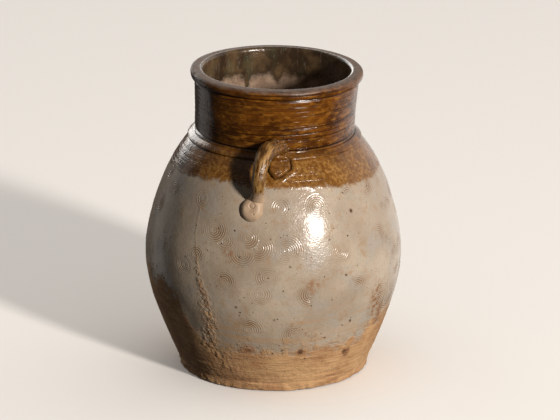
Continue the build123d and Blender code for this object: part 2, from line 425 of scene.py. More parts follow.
def kiln_warp(places):
    """In the kiln the neck sagged to the right, and the lip came to dip right and forwards."""
    height = places[:, 2]
    soft = smooth(185, 245, height)
    moved = places.copy()
    moved[:, 0] += NECK_SAG * smooth(215, 330, height)
    moved[:, 2] -= places[:, 0] * math.tan(DIP_RIGHT) * soft
    moved[:, 2] += (places[:, 1] - DIP_HINGE) * math.tan(DIP_FORWARD) * soft
    return moved


# %% [markdown]
# ## Turning a ring
# Every ring is lathed. A circle primitive becomes the ring's section: its points are moved to
# the outline, up the outside, over the top joint, down the inside and back along the foot.
# A screw modifier without any rise then carries the section once round the axis, as the wheel
# does. A section that starts and ends on the axis is left open, and its poles are merged.

# %% Lathe one piece
STEPS = 640                     # steps round the jar, about 1.2 mm apart at the belly
OUTSIDE_ROW = 1.1               # mm between rows on the outside
NECK_ROW = 0.6                  # finer where the ribs are
INSIDE_ROW = 3.0
JOINT_POINTS = 3


def rows(low, high, step):
    return np.linspace(low, high, max(2, int(round(abs(high - low) / step)) + 1))


def lathe(name, section, closed=True):
    """Turns a section of (radius, height) points, in mm, once about the jar's axis."""
    if bpy.context.object and bpy.context.object.mode != "OBJECT":
        bpy.ops.object.mode_set(mode="OBJECT")
    bpy.ops.object.select_all(action="DESELECT")
    bpy.ops.mesh.primitive_circle_add(vertices=len(section), radius=MM, location=(0, 0, 0))
    piece = bpy.context.object
    piece.name = name
    for vertex, (radius, height) in zip(piece.data.vertices, section):
        vertex.co = (0, -radius * MM, height * MM)
    if not closed:
        bpy.ops.object.mode_set(mode="EDIT")
        bpy.ops.mesh.select_mode(type="EDGE")
        bpy.ops.mesh.select_all(action="DESELECT")
        bpy.ops.object.mode_set(mode="OBJECT")
        for edge in piece.data.edges:
            edge.select = abs(edge.vertices[0] - edge.vertices[1]) > 1
        bpy.ops.object.mode_set(mode="EDIT")
        bpy.ops.mesh.delete(type="EDGE")
        bpy.ops.object.mode_set(mode="OBJECT")
    wheel = piece.modifiers.new("wheel", "SCREW")
    wheel.axis = "Z"
    wheel.angle = 2 * math.pi
    wheel.steps = wheel.render_steps = STEPS
    wheel.use_merge_vertices = True
    wheel.merge_threshold = 1e-6
    bpy.ops.object.modifier_apply(modifier="wheel")
    bpy.ops.object.mode_set(mode="EDIT")
    bpy.ops.mesh.select_all(action="SELECT")
    bpy.ops.mesh.remove_doubles(threshold=1e-6)
    bpy.ops.mesh.normals_make_consistent(inside=False)
    bpy.ops.object.mode_set(mode="OBJECT")
    return piece


def read_places(piece):
    places = np.zeros(len(piece.data.vertices) * 3)
    piece.data.vertices.foreach_get("co", places)
    return places.reshape(-1, 3) / MM


def write_places(piece, places):
    piece.data.vertices.foreach_set("co", (places * MM).ravel())
    piece.data.update()


def write_numbers(piece, numbers):
    for key in ("ring_distance", "ring_mark", "above_brown_edge", "above_grey_edge", "scar",
                "stain", "speck", "height", "glaze_pool_and_painted_shade", "inside", "above_poured_edge"):
        layer = piece.data.attributes.new(key, "FLOAT", "POINT")
        layer.data.foreach_set("value", numbers[key].astype(np.float32))


def inside_relief(places):
    """Finger ridges of the throwing, and a soft unevenness."""
    spiral = places[:, 2] + 6 * np.arctan2(places[:, 0], -places[:, 1]) / (2 * math.pi)
    ridges = 0.45 * np.sin(2 * math.pi * spiral / 9.0)
    return 0.5 * lumps(places, 40, 51) + ridges * (1 - smooth(240, 250, places[:, 2]))


def dress_ring(piece, thickness_side):
    """Adds relief, numbers and the kiln's warp. thickness_side is 1 outside and 0 inside."""
    places = read_places(piece)
    numbers = outside_numbers(places)
    radius = np.hypot(places[:, 0], places[:, 1])
    side = thickness_side(radius, places[:, 2])
    numbers["inside"] = 1 - side
    move = side * outside_relief(places, numbers) + (1 - side) * inside_relief(places)
    move *= smooth(0, 8, radius)
    outward = places[:, :2] / np.maximum(radius, 1e-6)[:, None]
    places[:, :2] += outward * move[:, None]
    write_numbers(piece, numbers)
    write_places(piece, kiln_warp(places))
    return places

# %% [markdown]
# ## A flat map of each ring
# The finishes are drawn in space and need no map, but a ring that is to be painted on a flat
# sheet needs one. The skin of a ring is slit along its foot and round its circumference, cut
# into three equal strips and laid one above another. The outside gets most of the sheet.

# %% Unroll a ring onto its own sheet
STRIPS = 3
HIDDEN_SHARE = 0.4              # inside and joints are drawn at this share of the outside's scale
STRIP_MARGIN = 0.004


def unroll(piece, section, section_weights):
    """Gives a lathed piece the UV map OFBake, from each corner's place in section and spin."""
    mesh = piece.data
    places = read_places(piece)
    radius = np.hypot(places[:, 0], places[:, 1])
    profile = np.stack([radius, places[:, 2]], axis=1)
    row = np.empty(len(places), int)
    for start in range(0, len(places), 8192):
        block = profile[start:start + 8192, None, :] - section[None, :, :]
        row[start:start + 8192] = np.argmin((block**2).sum(-1), axis=1)
    turn = np.arctan2(places[:, 0], -places[:, 1]) / (2 * math.pi) % 1.0
    column = np.round(turn * STEPS).astype(int) % STEPS
    closed = np.vstack([section, section[:1]])
    lengths = np.hypot(*np.diff(closed, axis=0).T) * section_weights
    along = np.concatenate([[0], np.cumsum(lengths)]) / lengths.sum()
    corners = np.zeros(len(mesh.loops), int)
    mesh.loops.foreach_get("vertex_index", corners)
    starts = np.zeros(len(mesh.polygons), int)
    mesh.polygons.foreach_get("loop_start", starts)
    face_of = np.repeat(np.arange(len(starts)), np.diff(np.append(starts, len(corners))))
    at_pole = radius[corners] < 1e-3

    def unwrapped(values, period, skip):
        """The corners' row or column, with a face that crosses the slit kept in one piece."""
        values = values.astype(float)
        low = np.full(len(starts), np.inf)
        high = np.full(len(starts), -np.inf)
        np.minimum.at(low, face_of[~skip], values[~skip])
        np.maximum.at(high, face_of[~skip], values[~skip])
        crossing = (high - low > period / 2)[face_of]
        values[crossing & (values < period / 2)] += period
        low = np.full(len(starts), np.inf)
        np.minimum.at(low, face_of[~skip], values[~skip])
        values[skip] = low[face_of][skip]
        return values, low[face_of]

    never = np.zeros(len(corners), bool)
    columns, first_column = unwrapped(column[corners], STEPS, at_pole)
    section_rows, _ = unwrapped(row[corners], len(section), never)
    strip_width = STEPS / STRIPS
    strip = np.minimum(first_column // strip_width, STRIPS - 1)
    u = (columns - strip * strip_width) / (strip_width + 1)
    v = np.interp(section_rows, np.arange(len(along)), along)
    u = STRIP_MARGIN + u * (1 - 2 * STRIP_MARGIN)
    v = (strip + STRIP_MARGIN * STRIPS + v * (1 - 2 * STRIP_MARGIN * STRIPS)) / STRIPS
    for layer in list(mesh.uv_layers):
        mesh.uv_layers.remove(layer)
    layer = mesh.uv_layers.new(name="OFBake")
    layer.data.foreach_set("uv", np.stack([u, v], axis=1).ravel().astype(np.float32))


# %% [markdown]
# ## The rings of the wall, the cordon and the neck
# Each ring's section comes straight from the two outlines. Its outside rows are close, so
# that ribs and crumbs are real shape, and its inside and joints are plainer.

# %% Turn the rings
def joint_line(start, end):
    """Points across a joint, without its ends."""
    share = np.linspace(0, 1, JOINT_POINTS + 2)[1:-1, None]
    return np.array(start) + share * (np.array(end) - np.array(start))


def ring_section(node, outside_row):
    """The closed section of a ring and how much map each stretch of it gets."""
    out_high, out_wide = ring_face(node, 1)
    in_high, in_wide = ring_face(node, -1)
    out_order, in_order = np.argsort(out_high), np.argsort(in_high)
    outside = rows(out_high.min(), out_high.max(), outside_row)
    inside = rows(in_high.max(), in_high.min(), INSIDE_ROW)
    outside = np.stack([np.interp(outside, out_high[out_order], out_wide[out_order]), outside], 1)
    inside = np.stack([np.interp(inside, in_high[in_order], in_wide[in_order]), inside], 1)
    top = joint_line(outside[-1], inside[0])
    foot = joint_line(inside[-1], outside[0])
    section = np.vstack([outside, top, inside, foot])
    weights = np.full(len(section), HIDDEN_SHARE)
    weights[:len(outside)] = 1.0
    return section, weights


def wall_side(radius, height):
    """1 on the outside, 0 on the inside, and between them across a joint."""
    inner, outer = inner_radius(height), outer_radius(height)
    return smooth(0.15, 0.85, (radius - inner) / np.maximum(outer - inner, 1e-6))


def smooth_shade(piece, degrees=40):
    bpy.ops.object.select_all(action="DESELECT")
    piece.select_set(True)
    bpy.context.view_layer.objects.active = piece
    bpy.ops.object.shade_smooth_by_angle(angle=math.radians(degrees))


pieces = {}
for node in RINGS:
    row = NECK_ROW if node.startswith("neck") else OUTSIDE_ROW
    section, weights = ring_section(node, row)
    piece = lathe(node + "_clay", section)
    unroll(piece, section, weights)
    dress_ring(piece, wall_side)
    smooth_shade(piece)
    pieces[node] = piece
    print(piece.name, len(section), "points round the section,", len(piece.data.polygons), "faces")

# %% [markdown]
# ## The lip and the slab
# The lip is a roll of clay pressed flat on top. Its section is a box with generously rounded
# corners, tilted a little outwards. The slab is a plain disc: its edge, which was cut with a
# wire and never trimmed, gets its crumbs from the relief above.

# %% Rounded sections
def rounded(corners, step):
    """A closed outline through (radius, height, rounding) corners, in mm, in even steps."""
    outline = []
    count = len(corners)
    for index, (x, y, rounding) in enumerate(corners):
        here = np.array([x, y], float)
        before = np.array(corners[index - 1][:2], float) - here
        after = np.array(corners[(index + 1) % count][:2], float) - here
        before /= np.linalg.norm(before)
        after /= np.linalg.norm(after)
        if rounding:
            start, end = here + before * rounding, here + after * rounding
            turns = np.linspace(0, 1, max(3, int(1.6 * rounding / step)))[:, None]
            outline.extend((1 - turns) ** 2 * start + 2 * turns * (1 - turns) * here + turns**2 * end)
        else:
            outline.append(here)
    even = []
    for start, end in zip(outline, outline[1:] + outline[:1]):
        parts = max(1, int(round(np.linalg.norm(end - start) / step)))
        even.extend(start + (end - start) * part / parts for part in range(parts))
    return np.array(even)


LIP_ROW = 0.8
neck_outside = outer_radius(NECK_TOP)
lip_section = rounded(
    [
        (MOUTH_RADIUS, NECK_TOP, 0),
        (neck_outside, NECK_TOP, 0),
        (LIP_RADIUS - 1.2, NECK_TOP + 0.6, 2.6),
        (LIP_RADIUS, JAR_TOP - 0.8, 4.8),
        (MOUTH_RADIUS + 0.6, JAR_TOP, 4.4),
    ],
    LIP_ROW,
)
lip = lathe("rim_lip_clay", lip_section)
unroll(lip, lip_section, np.ones(len(lip_section)))
slab_foot = SLAB_RADIUS - 1.6
slab_section = np.array(
    [(radius, 0.0) for radius in rows(0, slab_foot - 1.0, 8.0)]
    + [(slab_foot - 0.3, 0.3)]
    + [(np.interp(height, (0, SLAB_TOP), (slab_foot, SLAB_RADIUS)), height)
       for height in rows(0.9, SLAB_TOP, 0.75)]
    + [(radius, SLAB_TOP) for radius in rows(SLAB_RADIUS - 2.5, 0, 2.5)]
)
slab = lathe("base_slab_clay", slab_section, closed=False)
unroll(slab, slab_section, np.ones(len(slab_section)))


def lip_side(radius, height):
    """The lip's outer half follows the outside's relief and its bore the inside's."""
    return smooth(MOUTH_RADIUS + 0.5, MOUTH_RADIUS + 6, radius)


def slab_side(radius, height):
    return smooth(SLAB_RADIUS - 9, SLAB_RADIUS - 4, radius)


dress_ring(lip, lip_side)
slab_places = dress_ring(slab, slab_side)

# the inner floor: a spiral under the potter's finger, and clay pressed up into the corner
floor_radius = np.hypot(slab_places[:, 0], slab_places[:, 1])
floor_turn = np.arctan2(slab_places[:, 1], slab_places[:, 0])
on_floor = (slab_places[:, 2] > SLAB_TOP - 0.01) & (floor_radius < SLAB_RADIUS - 4)
lift = 0.6 * np.sin(2 * math.pi * floor_radius / 10 + floor_turn) * smooth(2, 14, floor_radius)
lift += 7.0 * smooth(70, 90, floor_radius) ** 2
slab_places[on_floor, 2] += lift[on_floor]
write_places(slab, slab_places)
for piece in (lip, slab):
    smooth_shade(piece)
    print(piece.name, len(piece.data.polygons), "faces")
pieces["rim_lip"] = lip
pieces["base_slab"] = slab

# %% [markdown]
# ## The rod of the handle
# The handle is a rod of clay, rolled by hand, pressed on below the neck and bent over to a
# thumb print on the shoulder. It starts as a ball with many close rows, because a ball is
# closed at both ends. Its rows are led one after another along the rod's line. The root swells
# where it was smeared on to the neck, and the end is flattened into the pad.

# %% Draw a ball out along the rod's line
# radius from the axis, azimuth and height of the rod's line, and its half width and half depth
ROD_LINE = [
    (70.0, 5.6, 242.5, 13.5, 8.0), (77.0, 5.0, 243.6, 13.2, 7.8), (85.0, 3.2, 244.6, 11.6, 7.4),
    (93.0, 1.1, 244.8, 9.4, 7.2), (102.0, -0.5, 242.4, 8.3, 7.0), (108.5, -1.3, 237.4, 7.6, 6.7),
    (112.5, -1.9, 230.4, 7.1, 6.4), (114.6, -2.4, 221.5, 6.7, 6.1), (113.6, -2.8, 212.4, 6.2, 5.6),
    (110.0, -3.3, 204.6, 6.2, 4.9), (105.4, -3.9, 197.6, 7.0, 4.0), (101.0, -4.8, 190.5, 7.6, 3.0),
]
ROD_ROWS = 150
ROD_LENGTH = 95.0               # mm along its line
ROD_SIDES = 64


def curve_through(stations, share):
    """A smooth line through the stations (Catmull-Rom), at shares 0 to 1 of its length."""
    stations = np.array(stations, float)
    padded = np.vstack([2 * stations[0] - stations[1], stations, 2 * stations[-1] - stations[-2]])
    spot = np.clip(share, 0, 1) * (len(stations) - 1)
    span = np.minimum(spot.astype(int), len(stations) - 2)
    t = (spot - span)[:, None]
    a, b, c, d = (padded[span + k] for k in range(4))
    return 0.5 * (2 * b + (c - a) * t + (2 * a - 5 * b + 4 * c - d) * t**2
                  + (3 * b - a - 3 * c + d) * t**3)


bpy.ops.object.select_all(action="DESELECT")
bpy.ops.mesh.primitive_uv_sphere_add(segments=ROD_SIDES, ring_count=ROD_ROWS, radius=1.0)
rod = bpy.context.object
rod.name = "handle_rod_clay"
local = np.array([v.co for v in rod.data.vertices])
share = np.arccos(np.clip(local[:, 2], -1, 1)) / math.pi
ring = np.arctan2(local[:, 1], local[:, 0])
reach = smooth(0, 0.045, np.minimum(share, 1 - share)) ** 0.5
line = curve_through(ROD_LINE, share)
centre = on_jar(line[:, 1], line[:, 2], line[:, 0])
ahead = curve_through(ROD_LINE, share + 0.004)
behind = curve_through(ROD_LINE, share - 0.004)
along = on_jar(ahead[:, 1], ahead[:, 2], ahead[:, 0]) - on_jar(behind[:, 1], behind[:, 2], behind[:, 0])
along /= np.linalg.norm(along, axis=1)[:, None]
turn = np.radians(line[:, 1])
sideways = np.stack([np.cos(turn), np.sin(turn), 0 * turn], axis=1)
sideways -= along * (sideways * along).sum(1)[:, None]
sideways /= np.linalg.norm(sideways, axis=1)[:, None]
outwards = np.cross(sideways, along)
spokes = np.cos(ring)[:, None] * sideways * line[:, 3:4] + np.sin(ring)[:, None] * outwards * line[:, 4:5]
rod_places = centre + spokes * reach[:, None]
spoke_length = np.maximum(np.linalg.norm(spokes, axis=1), 1e-6)[:, None]
bumps = 0.45 * lumps(rod_places, 11, 61) + 0.22 * lumps(rod_places, 3.6, 62)
bumps += 1.3 * lumps(rod_places, 5.0, 63, 3) * (1 - smooth(0.10, 0.30, share))
rod_places += spokes / spoke_length * (bumps * reach)[:, None]
rod_numbers = outside_numbers(rod_places)
rod_numbers["above_brown_edge"] = (rod_places[:, 2] - 207.0 + 2.0 * lumps(rod_places, 8, 64))
rod_numbers["ring_mark"] = 0 * share
rod_numbers["glaze_pool_and_painted_shade"] = 0 * share
straight = np.stack([6.5 * np.cos(ring), 6.5 * np.sin(ring), ROD_LENGTH * share], axis=1)
layer = rod.data.attributes.new("straight", "FLOAT_VECTOR", "POINT")
layer.data.foreach_set("vector", (straight * MM).ravel())
write_numbers(rod, rod_numbers)
write_places(rod, kiln_warp(rod_places))
bpy.ops.object.mode_set(mode="EDIT")
bpy.ops.mesh.select_all(action="SELECT")
bpy.ops.mesh.normals_make_consistent(inside=False)
bpy.ops.object.mode_set(mode="OBJECT")
smooth_shade(rod, 60)
pieces["handle_rod"] = rod
print(rod.name, len(rod.data.polygons), "faces")

# %% [markdown]
# ## The two pads
# Both pads are dabs of clay. Each starts as a sphere primitive whose equator is its outline,
# is pressed flat, and is then laid on the wall: sideways becomes azimuth, and up follows the
# slope of the wall. The thumb left a print on the lower one, with a small ring and a pin hole.

# %% Lay a dab of clay on the wall
def dab(name, centre_azimuth, centre_height, outline, front, buried):
    """A pressed dab. outline(angle) is its half width in mm, front(u, v, rim) its height."""
    bpy.ops.object.select_all(action="DESELECT")
    bpy.ops.mesh.primitive_uv_sphere_add(segments=128, ring_count=96, radius=1.0)
    piece = bpy.context.object
    piece.name = name
    ball = np.array([v.co for v in piece.data.vertices])
    flat = np.hypot(ball[:, 0], ball[:, 1])
    angle = np.arctan2(ball[:, 1], ball[:, 0])
    rim = np.where(ball[:, 2] > 0, np.arcsin(np.clip(flat, 0, 1)) / (math.pi / 2), flat)
    half = outline(angle)
    u, v = rim * half * np.cos(angle), rim * half * np.sin(angle)
    lifted = np.where(ball[:, 2] > 0, front(u, v, rim), -buried * np.abs(ball[:, 2]))
    slope_low, slope_high = outer_radius(centre_height - 9), outer_radius(centre_height + 9)
    rise = np.array([slope_high - slope_low, 18.0]) / math.hypot(slope_high - slope_low, 18.0)
    height = centre_height + v * rise[1]
    azimuth = centre_azimuth + np.degrees(u / outer_radius(centre_height))
    radius = outer_radius(height) + lifted * rise[1]
    return piece, on_jar(azimuth, height - lifted * rise[0], radius), (u, v, rim)


def finish_dab(piece, places, numbers):
    write_numbers(piece, numbers)
    write_places(piece, kiln_warp(places))
    bpy.ops.object.mode_set(mode="EDIT")
    bpy.ops.mesh.select_all(action="SELECT")
    bpy.ops.mesh.normals_make_consistent(inside=False)
    bpy.ops.object.mode_set(mode="OBJECT")
    smooth_shade(piece, 60)
    print(piece.name, len(piece.data.polygons), "faces")


def thumb_outline(angle):
    towards_rod = np.exp(-(((angle - 1.15) / 0.55) ** 2))
    return 11.0 + 0.5 * np.abs(np.sin(angle)) + 0.25 * np.sin(3 * angle + 1) + 3.2 * towards_rod


def thumb_front(u, v, rim):
    dome = 5.2 * (1 - rim**4.5) - 1.1 * np.exp(-((np.hypot(u, v) / 5.5) ** 2))
    print_ring = np.hypot(u - 0.8, v - 3.6)
    dome -= 0.55 * np.exp(-(((print_ring - 2.4) / 0.55) ** 2))
    pin = np.hypot(u - 2.6, v + 4.6)
    return dome - 1.4 * np.exp(-((pin / 0.6) ** 2))


PAD_AZIMUTH, PAD_HEIGHT = -6.3, 189.8
pad, pad_places, _ = dab(
    "handle_lower_pad_clay", PAD_AZIMUTH, PAD_HEIGHT, thumb_outline, thumb_front, 3.0
)
pad_places += 0.25 * lumps(pad_places, 7, 71)[:, None] * (0, -1, 0.3)
pad_numbers = outside_numbers(pad_places)
pad_numbers["ring_mark"] = 0 * pad_numbers["ring_mark"]
finish_dab(pad, pad_places, pad_numbers)
pieces["handle_lower_pad"] = pad


def leaf_front(u, v, rim):
    curled = smooth(0.60, 0.86, rim) * smooth(-0.6, 0.6, np.cos(np.arctan2(v, u) + 0.9))
    tilted = 0.09 * (v - u)
    return (4.0 + 0.9 * curled + tilted) * (1 - rim**9) + 0.2


leaf, leaf_places, (_, _, leaf_rim) = dab(
    "handle_upper_pad_clay", LEAF_AZIMUTH, LEAF_HEIGHT, leaf_outline, leaf_front, 4.0
)
leaf_places += 0.7 * lumps(leaf_places, 7, 72)[:, None] * (0, -1, 0.4)
leaf_numbers = outside_numbers(leaf_places)
leaf_numbers["ring_mark"] = 0 * leaf_numbers["ring_mark"]
leaf_numbers["glaze_pool_and_painted_shade"] = smooth(0.90, 1.0, leaf_rim) * smooth(-0.6, 0.6, lumps(leaf_places, 5, 73))
leaf_numbers["above_brown_edge"] = 28 + 0 * leaf_rim
finish_dab(leaf, leaf_places, leaf_numbers)
pieces["handle_upper_pad"] = leaf

# %% [markdown]
# ## Colours and nodes
# Colours are written as the hex values a painter would pick on screen and turned to the
# linear values that light is reckoned in. One function adds any node, sets it and wires it.
#
# Four nodes come back again and again. Noise gives lumps, and its Scale is one over the lumps'
# width. Map Range with smooth steps cuts noise into patches: 0 below its low value and 1 above
# its high one. Math weakens a patch, and Mix lays a colour on where the patch is 1.

# %% Helpers for the finishes
def colour(hex_value):
    channels = [int(hex_value[i:i + 2], 16) / 255 for i in (1, 3, 5)]
    linear = [c / 12.92 if c <= 0.04045 else ((c + 0.055) / 1.055) ** 2.4 for c in channels]
    return (*linear, 1.0)


def add(tree, kind, inputs=(), **settings):
    """Adds a node. inputs maps a socket's name or number to a value or to another socket."""
    made = tree.nodes.new(kind)
    for key, value in settings.items():
        setattr(made, key, value)
    for key, value in dict(inputs).items():
        if isinstance(value, bpy.types.NodeSocket):
            tree.links.new(value, made.inputs[key])
        else:
            made.inputs[key].default_value = value
    return made


print("colour check, clay:", [round(c, 3) for c in colour("#BD8E60")])

# %% [markdown]
# ## Bare stoneware
# The foot shows what the jar is made of: an iron-bearing buff stoneware clay, fired hot
# enough to go hard but left without glaze. It is dry to the eye, sandy, scraped in long
# level streaks, freckled with iron, and toasted where the flame licked it.

# %% Clay
RING_PITCH = 2.15               # mm between the paddle's rings


def clay_layer(tree, spots, drawn):
    """Colour, roughness and height (mm) of the bare clay."""
    noise = add(
        tree, "ShaderNodeTexNoise",
        {"Vector": spots, "Scale": 1 / (38 * MM), "Detail": 3.0, "Roughness": 0.55},
    ).outputs["Fac"]
    mask = add(
        tree, "ShaderNodeMapRange",
        {0: noise, 1: 0.38, 2: 0.64},
        interpolation_type="SMOOTHSTEP",
    ).outputs[0]
    tone = add(
        tree, "ShaderNodeMix",
        {0: mask, 6: colour("#A87C54"), 7: colour("#C39A6C")},
        data_type="RGBA",
    ).outputs[2]
    noise = add(
        tree, "ShaderNodeTexNoise",
        {"Vector": spots, "Scale": 1 / (20 * MM), "Detail": 5, "Roughness": 0.55},
    ).outputs["Fac"]
    toast = add(
        tree, "ShaderNodeMapRange",
        {0: noise, 1: 0.5, 2: 0.72},
        interpolation_type="SMOOTHSTEP",
    ).outputs[0]
    amount = add(tree, "ShaderNodeMath", {0: toast, 1: 0.6}, operation="MULTIPLY").outputs[0]
    tone = add(
        tree, "ShaderNodeMix",
        {0: amount, 6: tone, 7: colour("#8E5F38")},
        data_type="RGBA",
    ).outputs[2]
    noise = add(
        tree, "ShaderNodeTexNoise",
        {"Vector": drawn, "Scale": 1 / (2.0 * MM), "Detail": 4, "Roughness": 0.55},
    ).outputs["Fac"]
    drag = add(
        tree, "ShaderNodeMapRange",
        {0: noise, 1: 0.48, 2: 0.7},
        interpolation_type="SMOOTHSTEP",
    ).outputs[0]
    amount = add(tree, "ShaderNodeMath", {0: drag, 1: 0.5}, operation="MULTIPLY").outputs[0]
    tone = add(
        tree, "ShaderNodeMix",
        {0: amount, 6: tone, 7: colour("#D2AF80")},
        data_type="RGBA",
    ).outputs[2]
    noise = add(
        tree, "ShaderNodeTexNoise",
        {"Vector": drawn, "Scale": 1 / (3.2 * MM), "Detail": 5, "Roughness": 0.55},
    ).outputs["Fac"]
    dirt = add(
        tree, "ShaderNodeMapRange",
        {0: noise, 1: 0.54, 2: 0.72},
        interpolation_type="SMOOTHSTEP",
    ).outputs[0]
    amount = add(tree, "ShaderNodeMath", {0: dirt, 1: 0.45}, operation="MULTIPLY").outputs[0]
    tone = add(
        tree, "ShaderNodeMix",
        {0: amount, 6: tone, 7: colour("#7A5330")},
        data_type="RGBA",
    ).outputs[2]
    noise = add(
        tree, "ShaderNodeTexNoise",
        {"Vector": spots, "Scale": 1 / (3.5 * MM), "Detail": 4, "Roughness": 0.7},
    ).outputs["Fac"]
    pitted = add(
        tree, "ShaderNodeMapRange",
        {0: noise, 1: 0.36, 2: 0.56},
        interpolation_type="SMOOTHSTEP",
    ).outputs[0]
    stain = add(tree, "ShaderNodeAttribute", attribute_name="stain").outputs["Fac"]
    pitted = add(tree, "ShaderNodeMath", {0: pitted, 1: stain}, operation="MULTIPLY").outputs[0]
    amount = add(tree, "ShaderNodeMath", {0: pitted, 1: 0.85}, operation="MULTIPLY").outputs[0]
    tone = add(
        tree, "ShaderNodeMix",
        {0: amount, 6: tone, 7: colour("#6E4527")},
        data_type="RGBA",
    ).outputs[2]
    noise = add(
        tree, "ShaderNodeTexNoise",
        {"Vector": spots, "Scale": 1 / (2.0 * MM), "Detail": 2, "Roughness": 0.55},
    ).outputs["Fac"]
    freckle = add(
        tree, "ShaderNodeMapRange",
        {0: noise, 1: 0.68, 2: 0.74},
        interpolation_type="SMOOTHSTEP",
    ).outputs[0]
    speck = add(tree, "ShaderNodeAttribute", attribute_name="speck").outputs["Fac"]
    freckle = add(tree, "ShaderNodeMath", {0: freckle, 1: speck}, operation="MAXIMUM").outputs[0]
    amount = add(tree, "ShaderNodeMath", {0: freckle, 1: 0.8}, operation="MULTIPLY").outputs[0]
    tone = add(
        tree, "ShaderNodeMix",
        {0: amount, 6: tone, 7: colour("#4A2A14")},
        data_type="RGBA",
    ).outputs[2]
    noise = add(
        tree, "ShaderNodeTexNoise",
        {"Vector": spots, "Scale": 1 / (0.9 * MM), "Detail": 2, "Roughness": 0.55},
    ).outputs["Fac"]
    height = add(tree, "ShaderNodeMath", {0: noise, 1: 0.35}, operation="MULTIPLY").outputs[0]
    noise = add(
        tree, "ShaderNodeTexNoise",
        {"Vector": drawn, "Scale": 1 / (1.5 * MM), "Detail": 4, "Roughness": 0.55},
    ).outputs["Fac"]
    height = add(
        tree, "ShaderNodeMath",
        {0: noise, 1: 0.8, 2: height},
        operation="MULTIPLY_ADD",
    ).outputs[0]
    noise = add(
        tree, "ShaderNodeTexNoise",
        {"Vector": spots, "Scale": 1 / (3.2 * MM), "Detail": 4, "Roughness": 0.7},
    ).outputs["Fac"]
    height = add(
        tree, "ShaderNodeMath",
        {0: noise, 1: 0.7, 2: height},
        operation="MULTIPLY_ADD",
    ).outputs[0]
    return tone, 0.85, height


# %% [markdown]
# ## Wood-ash glaze
# The grey-beige belly is a thin ash glaze: half glass, half dust from the kiln. It is satin
# rather than glossy, pitted like orange peel, clouded, and stained brown in scratches. It
# lies thinner on the raised rings of the paddle, so that they show as fine warm lines.

# %% Ash glaze
def ring_wave(tree):
    """The paddle's rings, from 0 in the grooves to 1 on the crests, and their strength."""
    ring_distance = add(tree, "ShaderNodeAttribute", attribute_name="ring_distance").outputs["Fac"]
    phase = add(
        tree, "ShaderNodeMath",
        {0: ring_distance, 1: 2 * math.pi / RING_PITCH},
        operation="MULTIPLY",
    ).outputs[0]
    amount = add(tree, "ShaderNodeMath", {0: phase}, operation="COSINE").outputs[0]
    wave = add(tree, "ShaderNodeMath", {0: amount, 1: 0.5, 2: 0.5}, operation="MULTIPLY_ADD").outputs[0]
    ring_mark = add(tree, "ShaderNodeAttribute", attribute_name="ring_mark").outputs["Fac"]
    return wave, ring_mark


